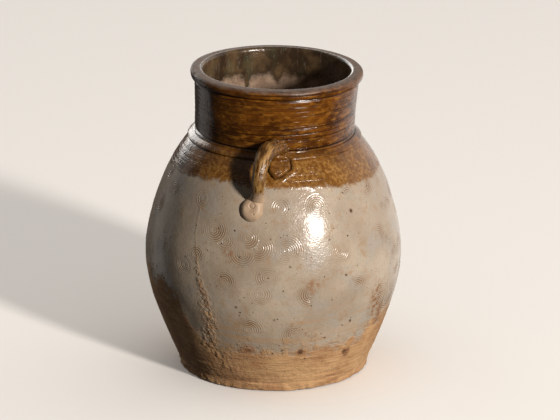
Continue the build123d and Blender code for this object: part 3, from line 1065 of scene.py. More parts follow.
def ash_layer(tree, spots, drawn):
    noise = add(
        tree, "ShaderNodeTexNoise",
        {"Vector": spots, "Scale": 1 / (60 * MM), "Detail": 4, "Roughness": 0.55},
    ).outputs["Fac"]
    cloud = add(
        tree, "ShaderNodeMapRange",
        {0: noise, 1: 0.36, 2: 0.66},
        interpolation_type="SMOOTHSTEP",
    ).outputs[0]
    tone = add(
        tree, "ShaderNodeMix",
        {0: cloud, 6: colour("#A1917E"), 7: colour("#B5A692")},
        data_type="RGBA",
    ).outputs[2]
    noise = add(
        tree, "ShaderNodeTexNoise",
        {"Vector": spots, "Scale": 1 / (26 * MM), "Detail": 4, "Roughness": 0.55},
    ).outputs["Fac"]
    cool = add(
        tree, "ShaderNodeMapRange",
        {0: noise, 1: 0.48, 2: 0.7},
        interpolation_type="SMOOTHSTEP",
    ).outputs[0]
    amount = add(tree, "ShaderNodeMath", {0: cool, 1: 0.55}, operation="MULTIPLY").outputs[0]
    tone = add(
        tree, "ShaderNodeMix",
        {0: amount, 6: tone, 7: colour("#A19C93")},
        data_type="RGBA",
    ).outputs[2]
    noise = add(
        tree, "ShaderNodeTexNoise",
        {"Vector": spots, "Scale": 1 / (11 * MM), "Detail": 5, "Roughness": 0.65},
    ).outputs["Fac"]
    warm = add(
        tree, "ShaderNodeMapRange",
        {0: noise, 1: 0.53, 2: 0.72},
        interpolation_type="SMOOTHSTEP",
    ).outputs[0]
    amount = add(tree, "ShaderNodeMath", {0: warm, 1: 0.45}, operation="MULTIPLY").outputs[0]
    tone = add(
        tree, "ShaderNodeMix",
        {0: amount, 6: tone, 7: colour("#9C7448")},
        data_type="RGBA",
    ).outputs[2]
    noise = add(
        tree, "ShaderNodeTexNoise",
        {"Vector": spots, "Scale": 1 / (2.6 * MM), "Detail": 4, "Roughness": 0.7},
    ).outputs["Fac"]
    mottle = add(
        tree, "ShaderNodeMapRange",
        {0: noise, 1: 0.44, 2: 0.64},
        interpolation_type="SMOOTHSTEP",
    ).outputs[0]
    amount = add(tree, "ShaderNodeMath", {0: mottle, 1: 0.22}, operation="MULTIPLY").outputs[0]
    tone = add(
        tree, "ShaderNodeMix",
        {0: amount, 6: tone, 7: colour("#8B7A68")},
        data_type="RGBA",
    ).outputs[2]
    height_here = add(tree, "ShaderNodeAttribute", attribute_name="height").outputs["Fac"]
    mask = add(
        tree, "ShaderNodeMapRange",
        {0: height_here, 1: 30.0, 2: 120.0},
        interpolation_type="SMOOTHSTEP",
    ).outputs[0]
    low = add(tree, "ShaderNodeMath", {0: 1.0, 1: mask}, operation="SUBTRACT").outputs[0]
    noise = add(
        tree, "ShaderNodeTexNoise",
        {"Vector": drawn, "Scale": 1 / (4.0 * MM), "Detail": 4, "Roughness": 0.55},
    ).outputs["Fac"]
    thin = add(
        tree, "ShaderNodeMapRange",
        {0: noise, 1: 0.44, 2: 0.66},
        interpolation_type="SMOOTHSTEP",
    ).outputs[0]
    amount = add(tree, "ShaderNodeMath", {0: thin, 1: low}, operation="MULTIPLY").outputs[0]
    thin = add(tree, "ShaderNodeMath", {0: amount, 1: 0.7}, operation="MULTIPLY").outputs[0]
    tone = add(
        tree, "ShaderNodeMix",
        {0: thin, 6: tone, 7: colour("#B08A62")},
        data_type="RGBA",
    ).outputs[2]
    wave, mark = ring_wave(tree)
    amount = add(tree, "ShaderNodeMath", {0: 1.0, 1: wave}, operation="SUBTRACT").outputs[0]
    browned = add(tree, "ShaderNodeMath", {0: amount, 1: mark}, operation="MULTIPLY").outputs[0]
    noise = add(
        tree, "ShaderNodeTexNoise",
        {"Vector": spots, "Scale": 1 / (17 * MM), "Detail": 2, "Roughness": 0.55},
    ).outputs["Fac"]
    iron = add(
        tree, "ShaderNodeMapRange",
        {0: noise, 1: 0.42, 2: 0.62},
        interpolation_type="SMOOTHSTEP",
    ).outputs[0]
    amount = add(tree, "ShaderNodeMath", {0: iron, 1: 0.6, 2: 0.3}, operation="MULTIPLY_ADD").outputs[0]
    browned = add(tree, "ShaderNodeMath", {0: browned, 1: amount}, operation="MULTIPLY").outputs[0]
    tone = add(
        tree, "ShaderNodeMix",
        {0: browned, 6: tone, 7: colour("#7C5936")},
        data_type="RGBA",
    ).outputs[2]
    noise = add(
        tree, "ShaderNodeTexNoise",
        {"Vector": spots, "Scale": 1 / (5 * MM), "Detail": 5, "Roughness": 0.65},
    ).outputs["Fac"]
    ragged = add(
        tree, "ShaderNodeMapRange",
        {0: noise, 1: 0.4, 2: 0.62},
        interpolation_type="SMOOTHSTEP",
    ).outputs[0]
    stain_here = add(tree, "ShaderNodeAttribute", attribute_name="stain").outputs["Fac"]
    stain = add(tree, "ShaderNodeMath", {0: stain_here, 1: ragged}, operation="MULTIPLY").outputs[0]
    amount = add(tree, "ShaderNodeMath", {0: stain, 1: 0.85}, operation="MULTIPLY").outputs[0]
    tone = add(
        tree, "ShaderNodeMix",
        {0: amount, 6: tone, 7: colour("#8A5C34")},
        data_type="RGBA",
    ).outputs[2]
    noise = add(
        tree, "ShaderNodeTexNoise",
        {"Vector": spots, "Scale": 1 / (3.0 * MM), "Detail": 1, "Roughness": 0.55},
    ).outputs["Fac"]
    speck = add(
        tree, "ShaderNodeMapRange",
        {0: noise, 1: 0.735, 2: 0.765},
        interpolation_type="SMOOTHSTEP",
    ).outputs[0]
    speck_here = add(tree, "ShaderNodeAttribute", attribute_name="speck").outputs["Fac"]
    speck = add(tree, "ShaderNodeMath", {0: speck, 1: speck_here}, operation="MAXIMUM").outputs[0]
    tone = add(
        tree, "ShaderNodeMix",
        {0: speck, 6: tone, 7: colour("#4B321E")},
        data_type="RGBA",
    ).outputs[2]
    noise = add(
        tree, "ShaderNodeTexNoise",
        {"Vector": spots, "Scale": 1 / (9 * MM), "Detail": 3, "Roughness": 0.55},
    ).outputs["Fac"]
    gloss = add(tree, "ShaderNodeMath", {0: noise, 1: 0.2, 2: 0.14}, operation="MULTIPLY_ADD").outputs[0]
    amount = add(tree, "ShaderNodeMath", {0: wave, 1: mark}, operation="MULTIPLY").outputs[0]
    height = add(tree, "ShaderNodeMath", {0: amount, 1: 0.28}, operation="MULTIPLY").outputs[0]
    noise = add(
        tree, "ShaderNodeTexNoise",
        {"Vector": spots, "Scale": 1 / (1.5 * MM), "Detail": 2, "Roughness": 0.55},
    ).outputs["Fac"]
    height = add(
        tree, "ShaderNodeMath",
        {0: noise, 1: 0.15, 2: height},
        operation="MULTIPLY_ADD",
    ).outputs[0]
    noise = add(
        tree, "ShaderNodeTexNoise",
        {"Vector": spots, "Scale": 1 / (5 * MM), "Detail": 2, "Roughness": 0.55},
    ).outputs["Fac"]
    height = add(
        tree, "ShaderNodeMath",
        {0: noise, 1: 0.2, 2: height},
        operation="MULTIPLY_ADD",
    ).outputs[0]
    return tone, gloss, height


# %% [markdown]
# ## Iron glaze
# Neck and shoulder were dipped in a second glaze full of iron. It is a deep, clear, glossy
# amber: almost black where it pools in grooves, honey where it runs thin over ribs, and
# curdled into ochre specks low on the shoulder, where it is thinnest of all. On the jar's
# left it is also darkened, as painted shade.

# %% Iron glaze
def iron_layer(tree, spots):
    above = add(tree, "ShaderNodeAttribute", attribute_name="above_brown_edge").outputs["Fac"]
    noise = add(
        tree, "ShaderNodeTexNoise",
        {"Vector": spots, "Scale": 1 / (24 * MM), "Detail": 4, "Roughness": 0.55},
    ).outputs["Fac"]
    mask = add(
        tree, "ShaderNodeMapRange",
        {0: noise, 1: 0.36, 2: 0.64},
        interpolation_type="SMOOTHSTEP",
    ).outputs[0]
    tone = add(
        tree, "ShaderNodeMix",
        {0: mask, 6: colour("#472505"), 7: colour("#6A3D0F")},
        data_type="RGBA",
    ).outputs[2]
    stretched = add(tree, "ShaderNodeMapping", {"Vector": spots, "Scale": (0.4, 0.4, 1.0)}).outputs[0]
    noise = add(
        tree, "ShaderNodeTexNoise",
        {"Vector": stretched, "Scale": 1 / (3.6 * MM), "Detail": 4, "Roughness": 0.65},
    ).outputs["Fac"]
    honey = add(
        tree, "ShaderNodeMapRange",
        {0: noise, 1: 0.46, 2: 0.66},
        interpolation_type="SMOOTHSTEP",
    ).outputs[0]
    amount = add(tree, "ShaderNodeMath", {0: honey, 1: 0.62}, operation="MULTIPLY").outputs[0]
    tone = add(
        tree, "ShaderNodeMix",
        {0: amount, 6: tone, 7: colour("#96631F")},
        data_type="RGBA",
    ).outputs[2]
    turned = add(tree, "ShaderNodeMapping", {"Vector": spots, "Scale": (0.014, 0.014, 1.0)}).outputs[0]
    noise = add(
        tree, "ShaderNodeTexNoise",
        {"Vector": turned, "Scale": 1 / (1.7 * MM), "Detail": 3, "Roughness": 0.6},
    ).outputs["Fac"]
    lines = add(
        tree, "ShaderNodeMapRange",
        {0: noise, 1: 0.52, 2: 0.66},
        interpolation_type="SMOOTHSTEP",
    ).outputs[0]
    amount = add(tree, "ShaderNodeMath", {0: lines, 1: 0.8}, operation="MULTIPLY").outputs[0]
    tone = add(
        tree, "ShaderNodeMix",
        {0: amount, 6: tone, 7: colour("#2E1605")},
        data_type="RGBA",
    ).outputs[2]
    noise = add(
        tree, "ShaderNodeTexNoise",
        {"Vector": spots, "Scale": 1 / (9 * MM), "Detail": 3, "Roughness": 0.55},
    ).outputs["Fac"]
    dark = add(
        tree, "ShaderNodeMapRange",
        {0: noise, 1: 0.6, 2: 0.72},
        interpolation_type="SMOOTHSTEP",
    ).outputs[0]
    amount = add(tree, "ShaderNodeMath", {0: dark, 1: 0.6}, operation="MULTIPLY").outputs[0]
    tone = add(
        tree, "ShaderNodeMix",
        {0: amount, 6: tone, 7: colour("#341A06")},
        data_type="RGBA",
    ).outputs[2]
    mask = add(
        tree, "ShaderNodeMapRange",
        {0: above, 1: 16.0, 2: 38.0},
        interpolation_type="SMOOTHSTEP",
    ).outputs[0]
    low = add(tree, "ShaderNodeMath", {0: 1.0, 1: mask}, operation="SUBTRACT").outputs[0]
    noise = add(
        tree, "ShaderNodeTexNoise",
        {"Vector": spots, "Scale": 1 / (3.2 * MM), "Detail": 4, "Roughness": 0.65},
    ).outputs["Fac"]
    curd = add(
        tree, "ShaderNodeMapRange",
        {0: noise, 1: 0.4, 2: 0.66},
        interpolation_type="SMOOTHSTEP",
    ).outputs[0]
    curdled = add(
        tree, "ShaderNodeMix",
        {0: curd, 6: colour("#6E4517"), 7: colour("#9C733A")},
        data_type="RGBA",
    ).outputs[2]
    noise = add(
        tree, "ShaderNodeTexNoise",
        {"Vector": spots, "Scale": 1 / (15 * MM), "Detail": 4, "Roughness": 0.55},
    ).outputs["Fac"]
    patch = add(
        tree, "ShaderNodeMapRange",
        {0: noise, 1: 0.46, 2: 0.66},
        interpolation_type="SMOOTHSTEP",
    ).outputs[0]
    amount = add(tree, "ShaderNodeMath", {0: patch, 1: 0.6}, operation="MULTIPLY").outputs[0]
    curdled = add(
        tree, "ShaderNodeMix",
        {0: amount, 6: curdled, 7: colour("#593410")},
        data_type="RGBA",
    ).outputs[2]
    amount = add(tree, "ShaderNodeMath", {0: low, 1: 0.95}, operation="MULTIPLY").outputs[0]
    tone = add(tree, "ShaderNodeMix", {0: amount, 6: tone, 7: curdled}, data_type="RGBA").outputs[2]
    mask = add(
        tree, "ShaderNodeMapRange",
        {0: above, 1: 0.6, 2: 5.0},
        interpolation_type="SMOOTHSTEP",
    ).outputs[0]
    rim = add(tree, "ShaderNodeMath", {0: 1.0, 1: mask}, operation="SUBTRACT").outputs[0]
    amount = add(tree, "ShaderNodeMath", {0: rim, 1: 0.5}, operation="MULTIPLY").outputs[0]
    tone = add(
        tree, "ShaderNodeMix",
        {0: amount, 6: tone, 7: colour("#7E5526")},
        data_type="RGBA",
    ).outputs[2]
    # near black where glaze pools in grooves, and painted shade on the jar's left side
    glaze_pool_and_painted_shade = add(tree, "ShaderNodeAttribute", attribute_name="glaze_pool_and_painted_shade").outputs["Fac"]
    mask = add(
        tree, "ShaderNodeMapRange",
        {0: glaze_pool_and_painted_shade, 1: 0.15, 2: 0.9},
        interpolation_type="SMOOTHSTEP",
    ).outputs[0]
    tone = add(
        tree, "ShaderNodeMix",
        {0: mask, 6: tone, 7: colour("#190B03")},
        data_type="RGBA",
    ).outputs[2]
    noise = add(
        tree, "ShaderNodeTexNoise",
        {"Vector": spots, "Scale": 1 / (4 * MM), "Detail": 3, "Roughness": 0.55},
    ).outputs["Fac"]
    gloss = add(tree, "ShaderNodeMath", {0: noise, 1: 0.26, 2: 0.07}, operation="MULTIPLY_ADD").outputs[0]
    mask = add(
        tree, "ShaderNodeMapRange",
        {0: glaze_pool_and_painted_shade, 1: 0.2, 2: 0.8},
        interpolation_type="SMOOTHSTEP",
    ).outputs[0]
    gloss = add(
        tree, "ShaderNodeMath",
        {0: mask, 1: -0.08, 2: gloss},
        operation="MULTIPLY_ADD",
    ).outputs[0]
    noise = add(
        tree, "ShaderNodeTexNoise",
        {"Vector": spots, "Scale": 1 / (1.5 * MM), "Detail": 2, "Roughness": 0.55},
    ).outputs["Fac"]
    height = add(tree, "ShaderNodeMath", {0: noise, 1: 0.07}, operation="MULTIPLY").outputs[0]
    noise = add(
        tree, "ShaderNodeTexNoise",
        {"Vector": spots, "Scale": 1 / (6 * MM), "Detail": 3, "Roughness": 0.55},
    ).outputs["Fac"]
    height = add(
        tree, "ShaderNodeMath",
        {0: noise, 1: 0.35, 2: height},
        operation="MULTIPLY_ADD",
    ).outputs[0]
    height = add(
        tree, "ShaderNodeMath",
        {0: lines, 1: -0.1, 2: height},
        operation="MULTIPLY_ADD",
    ).outputs[0]
    return tone, gloss, height


# %% [markdown]
# ## The inside
# A band of the dark glaze was poured round the inside of the neck and ran down in drips;
# the clay below it is bare. Turning grey-green, the glaze shows how much ash fell in.

# %% Inside glaze
def inside_layer(tree, spots):
    """The dry inside and, above it, the poured band with its drips."""
    noise = add(
        tree, "ShaderNodeTexNoise",
        {"Vector": spots, "Scale": 1 / (12 * MM), "Detail": 4, "Roughness": 0.55},
    ).outputs["Fac"]
    mask = add(
        tree, "ShaderNodeMapRange",
        {0: noise, 1: 0.4, 2: 0.66},
        interpolation_type="SMOOTHSTEP",
    ).outputs[0]
    clay = add(
        tree, "ShaderNodeMix",
        {0: mask, 6: colour("#7A6350"), 7: colour("#98806A")},
        data_type="RGBA",
    ).outputs[2]
    noise = add(
        tree, "ShaderNodeTexNoise",
        {"Vector": spots, "Scale": 1 / (2.2 * MM), "Detail": 3, "Roughness": 0.55},
    ).outputs["Fac"]
    mask = add(
        tree, "ShaderNodeMapRange",
        {0: noise, 1: 0.56, 2: 0.7},
        interpolation_type="SMOOTHSTEP",
    ).outputs[0]
    clay = add(
        tree, "ShaderNodeMix",
        {0: mask, 6: clay, 7: colour("#6F5742")},
        data_type="RGBA",
    ).outputs[2]
    hanging = add(tree, "ShaderNodeMapping", {"Vector": spots, "Scale": (1.0, 1.0, 0.3)}).outputs[0]
    noise = add(
        tree, "ShaderNodeTexNoise",
        {"Vector": spots, "Scale": 1 / (7 * MM), "Detail": 5, "Roughness": 0.65},
    ).outputs["Fac"]
    frayed = add(
        tree, "ShaderNodeMath",
        {0: noise, 1: 16.0, 2: -8.0},
        operation="MULTIPLY_ADD",
    ).outputs[0]
    above_poured_edge = add(
        tree, "ShaderNodeAttribute",
        attribute_name="above_poured_edge",
    ).outputs["Fac"]
    above = add(tree, "ShaderNodeMath", {0: above_poured_edge, 1: frayed}, operation="ADD").outputs[0]
    cover = add(
        tree, "ShaderNodeMapRange",
        {0: above, 1: -5.0, 2: 4.0},
        interpolation_type="SMOOTHSTEP",
    ).outputs[0]
    noise = add(
        tree, "ShaderNodeTexNoise",
        {"Vector": spots, "Scale": 1 / (16 * MM), "Detail": 5, "Roughness": 0.6},
    ).outputs["Fac"]
    mask = add(
        tree, "ShaderNodeMapRange",
        {0: noise, 1: 0.36, 2: 0.64},
        interpolation_type="SMOOTHSTEP",
    ).outputs[0]
    poured = add(
        tree, "ShaderNodeMix",
        {0: mask, 6: colour("#35281C"), 7: colour("#5A4731")},
        data_type="RGBA",
    ).outputs[2]
    noise = add(
        tree, "ShaderNodeTexNoise",
        {"Vector": hanging, "Scale": 1 / (14 * MM), "Detail": 3, "Roughness": 0.55},
    ).outputs["Fac"]
    olive = add(
        tree, "ShaderNodeMapRange",
        {0: noise, 1: 0.54, 2: 0.68},
        interpolation_type="SMOOTHSTEP",
    ).outputs[0]
    amount = add(tree, "ShaderNodeMath", {0: olive, 1: 0.4}, operation="MULTIPLY").outputs[0]
    poured = add(
        tree, "ShaderNodeMix",
        {0: amount, 6: poured, 7: colour("#3E4530")},
        data_type="RGBA",
    ).outputs[2]
    noise = add(
        tree, "ShaderNodeTexNoise",
        {"Vector": hanging, "Scale": 1 / (5 * MM), "Detail": 5, "Roughness": 0.7},
    ).outputs["Fac"]
    milky = add(
        tree, "ShaderNodeMapRange",
        {0: noise, 1: 0.56, 2: 0.72},
        interpolation_type="SMOOTHSTEP",
    ).outputs[0]
    amount = add(tree, "ShaderNodeMath", {0: milky, 1: 0.45}, operation="MULTIPLY").outputs[0]
    poured = add(
        tree, "ShaderNodeMix",
        {0: amount, 6: poured, 7: colour("#807468")},
        data_type="RGBA",
    ).outputs[2]
    heavy = add(
        tree, "ShaderNodeMapRange",
        {0: above, 1: 9.0, 2: 2.0},
        interpolation_type="SMOOTHSTEP",
    ).outputs[0]
    amount = add(tree, "ShaderNodeMath", {0: heavy, 1: 0.5}, operation="MULTIPLY").outputs[0]
    poured = add(
        tree, "ShaderNodeMix",
        {0: amount, 6: poured, 7: colour("#241D16")},
        data_type="RGBA",
    ).outputs[2]
    tone = add(tree, "ShaderNodeMix", {0: cover, 6: clay, 7: poured}, data_type="RGBA").outputs[2]
    rough = add(
        tree, "ShaderNodeMath",
        {0: cover, 1: -0.66, 2: 0.86},
        operation="MULTIPLY_ADD",
    ).outputs[0]
    noise = add(
        tree, "ShaderNodeTexNoise",
        {"Vector": spots, "Scale": 1 / (2 * MM), "Detail": 3, "Roughness": 0.55},
    ).outputs["Fac"]
    amount = add(tree, "ShaderNodeMath", {0: noise, 1: 0.3}, operation="MULTIPLY").outputs[0]
    height = add(
        tree, "ShaderNodeMath",
        {0: cover, 1: 0.25, 2: amount},
        operation="MULTIPLY_ADD",
    ).outputs[0]
    return tone, rough, height


# %% [markdown]
# ## Layers over one another
# Each piece of the jar carries the clay, and over it whichever glazes reach it. The layers
# are laid in one material, so the jar has a single shader whose colour, gloss and height
# change where a glaze ends. The edge of a glaze is ragged at the scale of its own grain.

# %% Lay the finishes over each other
def over(tree, cover, below, above):
    """One layer over another where cover is 1: colour, roughness and height."""
    tone = add(tree, "ShaderNodeMix", {0: cover, 6: below[0], 7: above[0]}, data_type="RGBA").outputs[2]
    rough = add(tree, "ShaderNodeMix", {0: cover, 2: below[1], 3: above[1]}).outputs[0]
    height = add(tree, "ShaderNodeMix", {0: cover, 2: below[2], 3: above[2]}).outputs[0]
    return tone, rough, height


def ash_cover(tree, spots):
    """1 where the ash glaze lies: ragged below, and crumbled away along the scar."""
    noise = add(
        tree, "ShaderNodeTexNoise",
        {"Vector": spots, "Scale": 1 / (12 * MM), "Detail": 6, "Roughness": 0.68},
    ).outputs["Fac"]
    ragged = add(
        tree, "ShaderNodeMath",
        {0: noise, 1: 70.0, 2: -35.0},
        operation="MULTIPLY_ADD",
    ).outputs[0]
    above_grey_edge = add(tree, "ShaderNodeAttribute", attribute_name="above_grey_edge").outputs["Fac"]
    above = add(tree, "ShaderNodeMath", {0: above_grey_edge, 1: ragged}, operation="ADD").outputs[0]
    cover = add(
        tree, "ShaderNodeMapRange",
        {0: above, 1: -7.0, 2: 11.0},
        interpolation_type="SMOOTHSTEP",
    ).outputs[0]
    noise = add(
        tree, "ShaderNodeTexNoise",
        {"Vector": spots, "Scale": 1 / (4 * MM), "Detail": 3, "Roughness": 0.55},
    ).outputs["Fac"]
    crumbled = add(
        tree, "ShaderNodeMapRange",
        {0: noise, 1: 0.35, 2: 0.6},
        interpolation_type="SMOOTHSTEP",
    ).outputs[0]
    scar = add(tree, "ShaderNodeAttribute", attribute_name="scar").outputs["Fac"]
    bald = add(tree, "ShaderNodeMath", {0: scar, 1: crumbled}, operation="MULTIPLY").outputs[0]
    amount = add(tree, "ShaderNodeMath", {0: bald, 1: -0.85, 2: 1.0}, operation="MULTIPLY_ADD").outputs[0]
    return add(tree, "ShaderNodeMath", {0: cover, 1: amount}, operation="MULTIPLY").outputs[0]


def iron_cover(tree, spots):
    """1 where the iron glaze lies, with a slightly frayed edge."""
    noise = add(
        tree, "ShaderNodeTexNoise",
        {"Vector": spots, "Scale": 1 / (4.0 * MM), "Detail": 5, "Roughness": 0.6},
    ).outputs["Fac"]
    ragged = add(tree, "ShaderNodeMath", {0: noise, 1: 9.0, 2: -4.5}, operation="MULTIPLY_ADD").outputs[0]
    above_brown_edge = add(tree, "ShaderNodeAttribute", attribute_name="above_brown_edge").outputs["Fac"]
    above = add(tree, "ShaderNodeMath", {0: above_brown_edge, 1: ragged}, operation="ADD").outputs[0]
    return add(
        tree, "ShaderNodeMapRange",
        {0: above, 1: -2.0, 2: 2.6},
        interpolation_type="SMOOTHSTEP",
    ).outputs[0]


def worn_lip(tree, spots, layer):
    """The flat of the lip is rubbed matt and pinkish brown, with a little glaze left in dips."""
    noise = add(
        tree, "ShaderNodeTexNoise",
        {"Vector": spots, "Scale": 1 / (6 * MM), "Detail": 5, "Roughness": 0.65},
    ).outputs["Fac"]
    patchy = add(
        tree, "ShaderNodeMapRange",
        {0: noise, 1: 0.42, 2: 0.62},
        interpolation_type="SMOOTHSTEP",
    ).outputs[0]
    tone = add(
        tree, "ShaderNodeMix",
        {0: patchy, 6: colour("#6E5848"), 7: colour("#473427")},
        data_type="RGBA",
    ).outputs[2]
    noise = add(
        tree, "ShaderNodeTexNoise",
        {"Vector": spots, "Scale": 1 / (1.6 * MM), "Detail": 3, "Roughness": 0.55},
    ).outputs["Fac"]
    fine = add(
        tree, "ShaderNodeMapRange",
        {0: noise, 1: 0.5, 2: 0.66},
        interpolation_type="SMOOTHSTEP",
    ).outputs[0]
    amount = add(tree, "ShaderNodeMath", {0: fine, 1: 0.45}, operation="MULTIPLY").outputs[0]
    tone = add(
        tree, "ShaderNodeMix",
        {0: amount, 6: tone, 7: colour("#765F4F")},
        data_type="RGBA",
    ).outputs[2]
    rough = add(
        tree, "ShaderNodeMath",
        {0: patchy, 1: -0.2, 2: 0.85},
        operation="MULTIPLY_ADD",
    ).outputs[0]
    noise = add(
        tree, "ShaderNodeTexNoise",
        {"Vector": spots, "Scale": 1 / (1.5 * MM), "Detail": 4, "Roughness": 0.55},
    ).outputs["Fac"]
    amount = add(tree, "ShaderNodeMath", {0: noise, 1: 0.3}, operation="MULTIPLY").outputs[0]
    rubbed = (tone, rough, amount)
    noise = add(
        tree, "ShaderNodeTexNoise",
        {"Vector": spots, "Scale": 1 / (7 * MM), "Detail": 5, "Roughness": 0.65},
    ).outputs["Fac"]
    frayed = add(tree, "ShaderNodeMath", {0: noise, 1: 7.0, 2: -3.5}, operation="MULTIPLY_ADD").outputs[0]
    height = add(tree, "ShaderNodeAttribute", attribute_name="height").outputs["Fac"]
    amount = add(tree, "ShaderNodeMath", {0: height, 1: frayed}, operation="ADD").outputs[0]
    worn = add(
        tree, "ShaderNodeMapRange",
        {0: amount, 1: JAR_TOP - 4.2, 2: JAR_TOP - 0.4},
        interpolation_type="SMOOTHSTEP",
    ).outputs[0]
    return over(tree, worn, layer, rubbed)


def streaked_rod(tree, spots, layer):
    """Iron glaze drawn out along the rod: ochre streaks, brown ones between, and dark grit."""
    straight = add(tree, "ShaderNodeAttribute", attribute_name="straight").outputs["Vector"]
    pulled = add(tree, "ShaderNodeMapping", {"Vector": straight, "Scale": (1, 1, 0.16)}).outputs[0]
    noise = add(
        tree, "ShaderNodeTexNoise",
        {"Vector": pulled, "Scale": 1 / (2.6 * MM), "Detail": 4, "Roughness": 0.6},
    ).outputs["Fac"]
    mask = add(
        tree, "ShaderNodeMapRange",
        {0: noise, 1: 0.38, 2: 0.62},
        interpolation_type="SMOOTHSTEP",
    ).outputs[0]
    tone = add(
        tree, "ShaderNodeMix",
        {0: mask, 6: colour("#664319"), 7: colour("#A27C47")},
        data_type="RGBA",
    ).outputs[2]
    noise = add(
        tree, "ShaderNodeTexNoise",
        {"Vector": pulled, "Scale": 1 / (1.7 * MM), "Detail": 5, "Roughness": 0.7},
    ).outputs["Fac"]
    dark = add(
        tree, "ShaderNodeMapRange",
        {0: noise, 1: 0.49, 2: 0.6},
        interpolation_type="SMOOTHSTEP",
    ).outputs[0]
    amount = add(tree, "ShaderNodeMath", {0: dark, 1: 0.9}, operation="MULTIPLY").outputs[0]
    tone = add(
        tree, "ShaderNodeMix",
        {0: amount, 6: tone, 7: colour("#3C220A")},
        data_type="RGBA",
    ).outputs[2]
    noise = add(
        tree, "ShaderNodeTexNoise",
        {"Vector": spots, "Scale": 1 / (1.3 * MM), "Detail": 2, "Roughness": 0.55},
    ).outputs["Fac"]
    grit = add(
        tree, "ShaderNodeMapRange",
        {0: noise, 1: 0.64, 2: 0.72},
        interpolation_type="SMOOTHSTEP",
    ).outputs[0]
    amount = add(tree, "ShaderNodeMath", {0: grit, 1: 0.7}, operation="MULTIPLY").outputs[0]
    tone = add(
        tree, "ShaderNodeMix",
        {0: amount, 6: tone, 7: colour("#38200A")},
        data_type="RGBA",
    ).outputs[2]
    length = add(tree, "ShaderNodeSeparateXYZ", {0: straight}).outputs[2]
    smeared = add(
        tree, "ShaderNodeMapRange",
        {0: length, 1: 0.36 * ROD_LENGTH * MM, 2: 0.16 * ROD_LENGTH * MM},
        interpolation_type="SMOOTHSTEP",
    ).outputs[0]
    noise = add(
        tree, "ShaderNodeTexNoise",
        {"Vector": spots, "Scale": 1 / (2.4 * MM), "Detail": 5, "Roughness": 0.7},
    ).outputs["Fac"]
    mask = add(
        tree, "ShaderNodeMapRange",
        {0: noise, 1: 0.42, 2: 0.6},
        interpolation_type="SMOOTHSTEP",
    ).outputs[0]
    smear = add(
        tree, "ShaderNodeMix",
        {0: mask, 6: colour("#3C210A"), 7: colour("#8A5C2A")},
        data_type="RGBA",
    ).outputs[2]
    amount = add(tree, "ShaderNodeMath", {0: smeared, 1: 0.85}, operation="MULTIPLY").outputs[0]
    tone = add(tree, "ShaderNodeMix", {0: amount, 6: tone, 7: smear}, data_type="RGBA").outputs[2]
    rough = add(tree, "ShaderNodeMath", {0: dark, 1: -0.15, 2: 0.36}, operation="MULTIPLY_ADD").outputs[0]
    rough = add(
        tree, "ShaderNodeMath",
        {0: smeared, 1: -0.16, 2: rough},
        operation="MULTIPLY_ADD",
    ).outputs[0]
    noise = add(
        tree, "ShaderNodeTexNoise",
        {"Vector": pulled, "Scale": 1 / (2.0 * MM), "Detail": 4, "Roughness": 0.55},
    ).outputs["Fac"]
    height = add(tree, "ShaderNodeMath", {0: noise, 1: 0.7}, operation="MULTIPLY").outputs[0]
    noise = add(
        tree, "ShaderNodeTexNoise",
        {"Vector": spots, "Scale": 1 / (2.2 * MM), "Detail": 4, "Roughness": 0.7},
    ).outputs["Fac"]
    amount = add(tree, "ShaderNodeMath", {0: smeared, 1: noise}, operation="MULTIPLY").outputs[0]
    height = add(
        tree, "ShaderNodeMath",
        {0: amount, 1: 1.6, 2: height},
        operation="MULTIPLY_ADD",
    ).outputs[0]
    noise = add(
        tree, "ShaderNodeTexNoise",
        {"Vector": spots, "Scale": 1 / (1.4 * MM), "Detail": 3, "Roughness": 0.55},
    ).outputs["Fac"]
    height = add(
        tree, "ShaderNodeMath",
        {0: noise, 1: 0.25, 2: height},
        operation="MULTIPLY_ADD",
    ).outputs[0]
    return over(tree, iron_cover(tree, spots), layer, (tone, rough, height))


def rubbed_thin(tree, spots, layer):
    """The thumb pad: its glaze lies so thin that the clay gives it a matt pinkish beige."""
    noise = add(
        tree, "ShaderNodeTexNoise",
        {"Vector": spots, "Scale": 1 / (7 * MM), "Detail": 4, "Roughness": 0.55},
    ).outputs["Fac"]
    faint = add(
        tree, "ShaderNodeMapRange",
        {0: noise, 1: 0.38, 2: 0.66},
        interpolation_type="SMOOTHSTEP",
    ).outputs[0]
    tone = add(
        tree, "ShaderNodeMix",
        {0: faint, 6: colour("#A98A6B"), 7: colour("#BA9D7E")},
        data_type="RGBA",
    ).outputs[2]
    tone = add(tree, "ShaderNodeMix", {0: 0.3, 6: tone, 7: layer[0]}, data_type="RGBA").outputs[2]
    amount = add(tree, "ShaderNodeMath", {0: layer[2], 1: 0.6}, operation="MULTIPLY").outputs[0]
    return tone, 0.55, amount


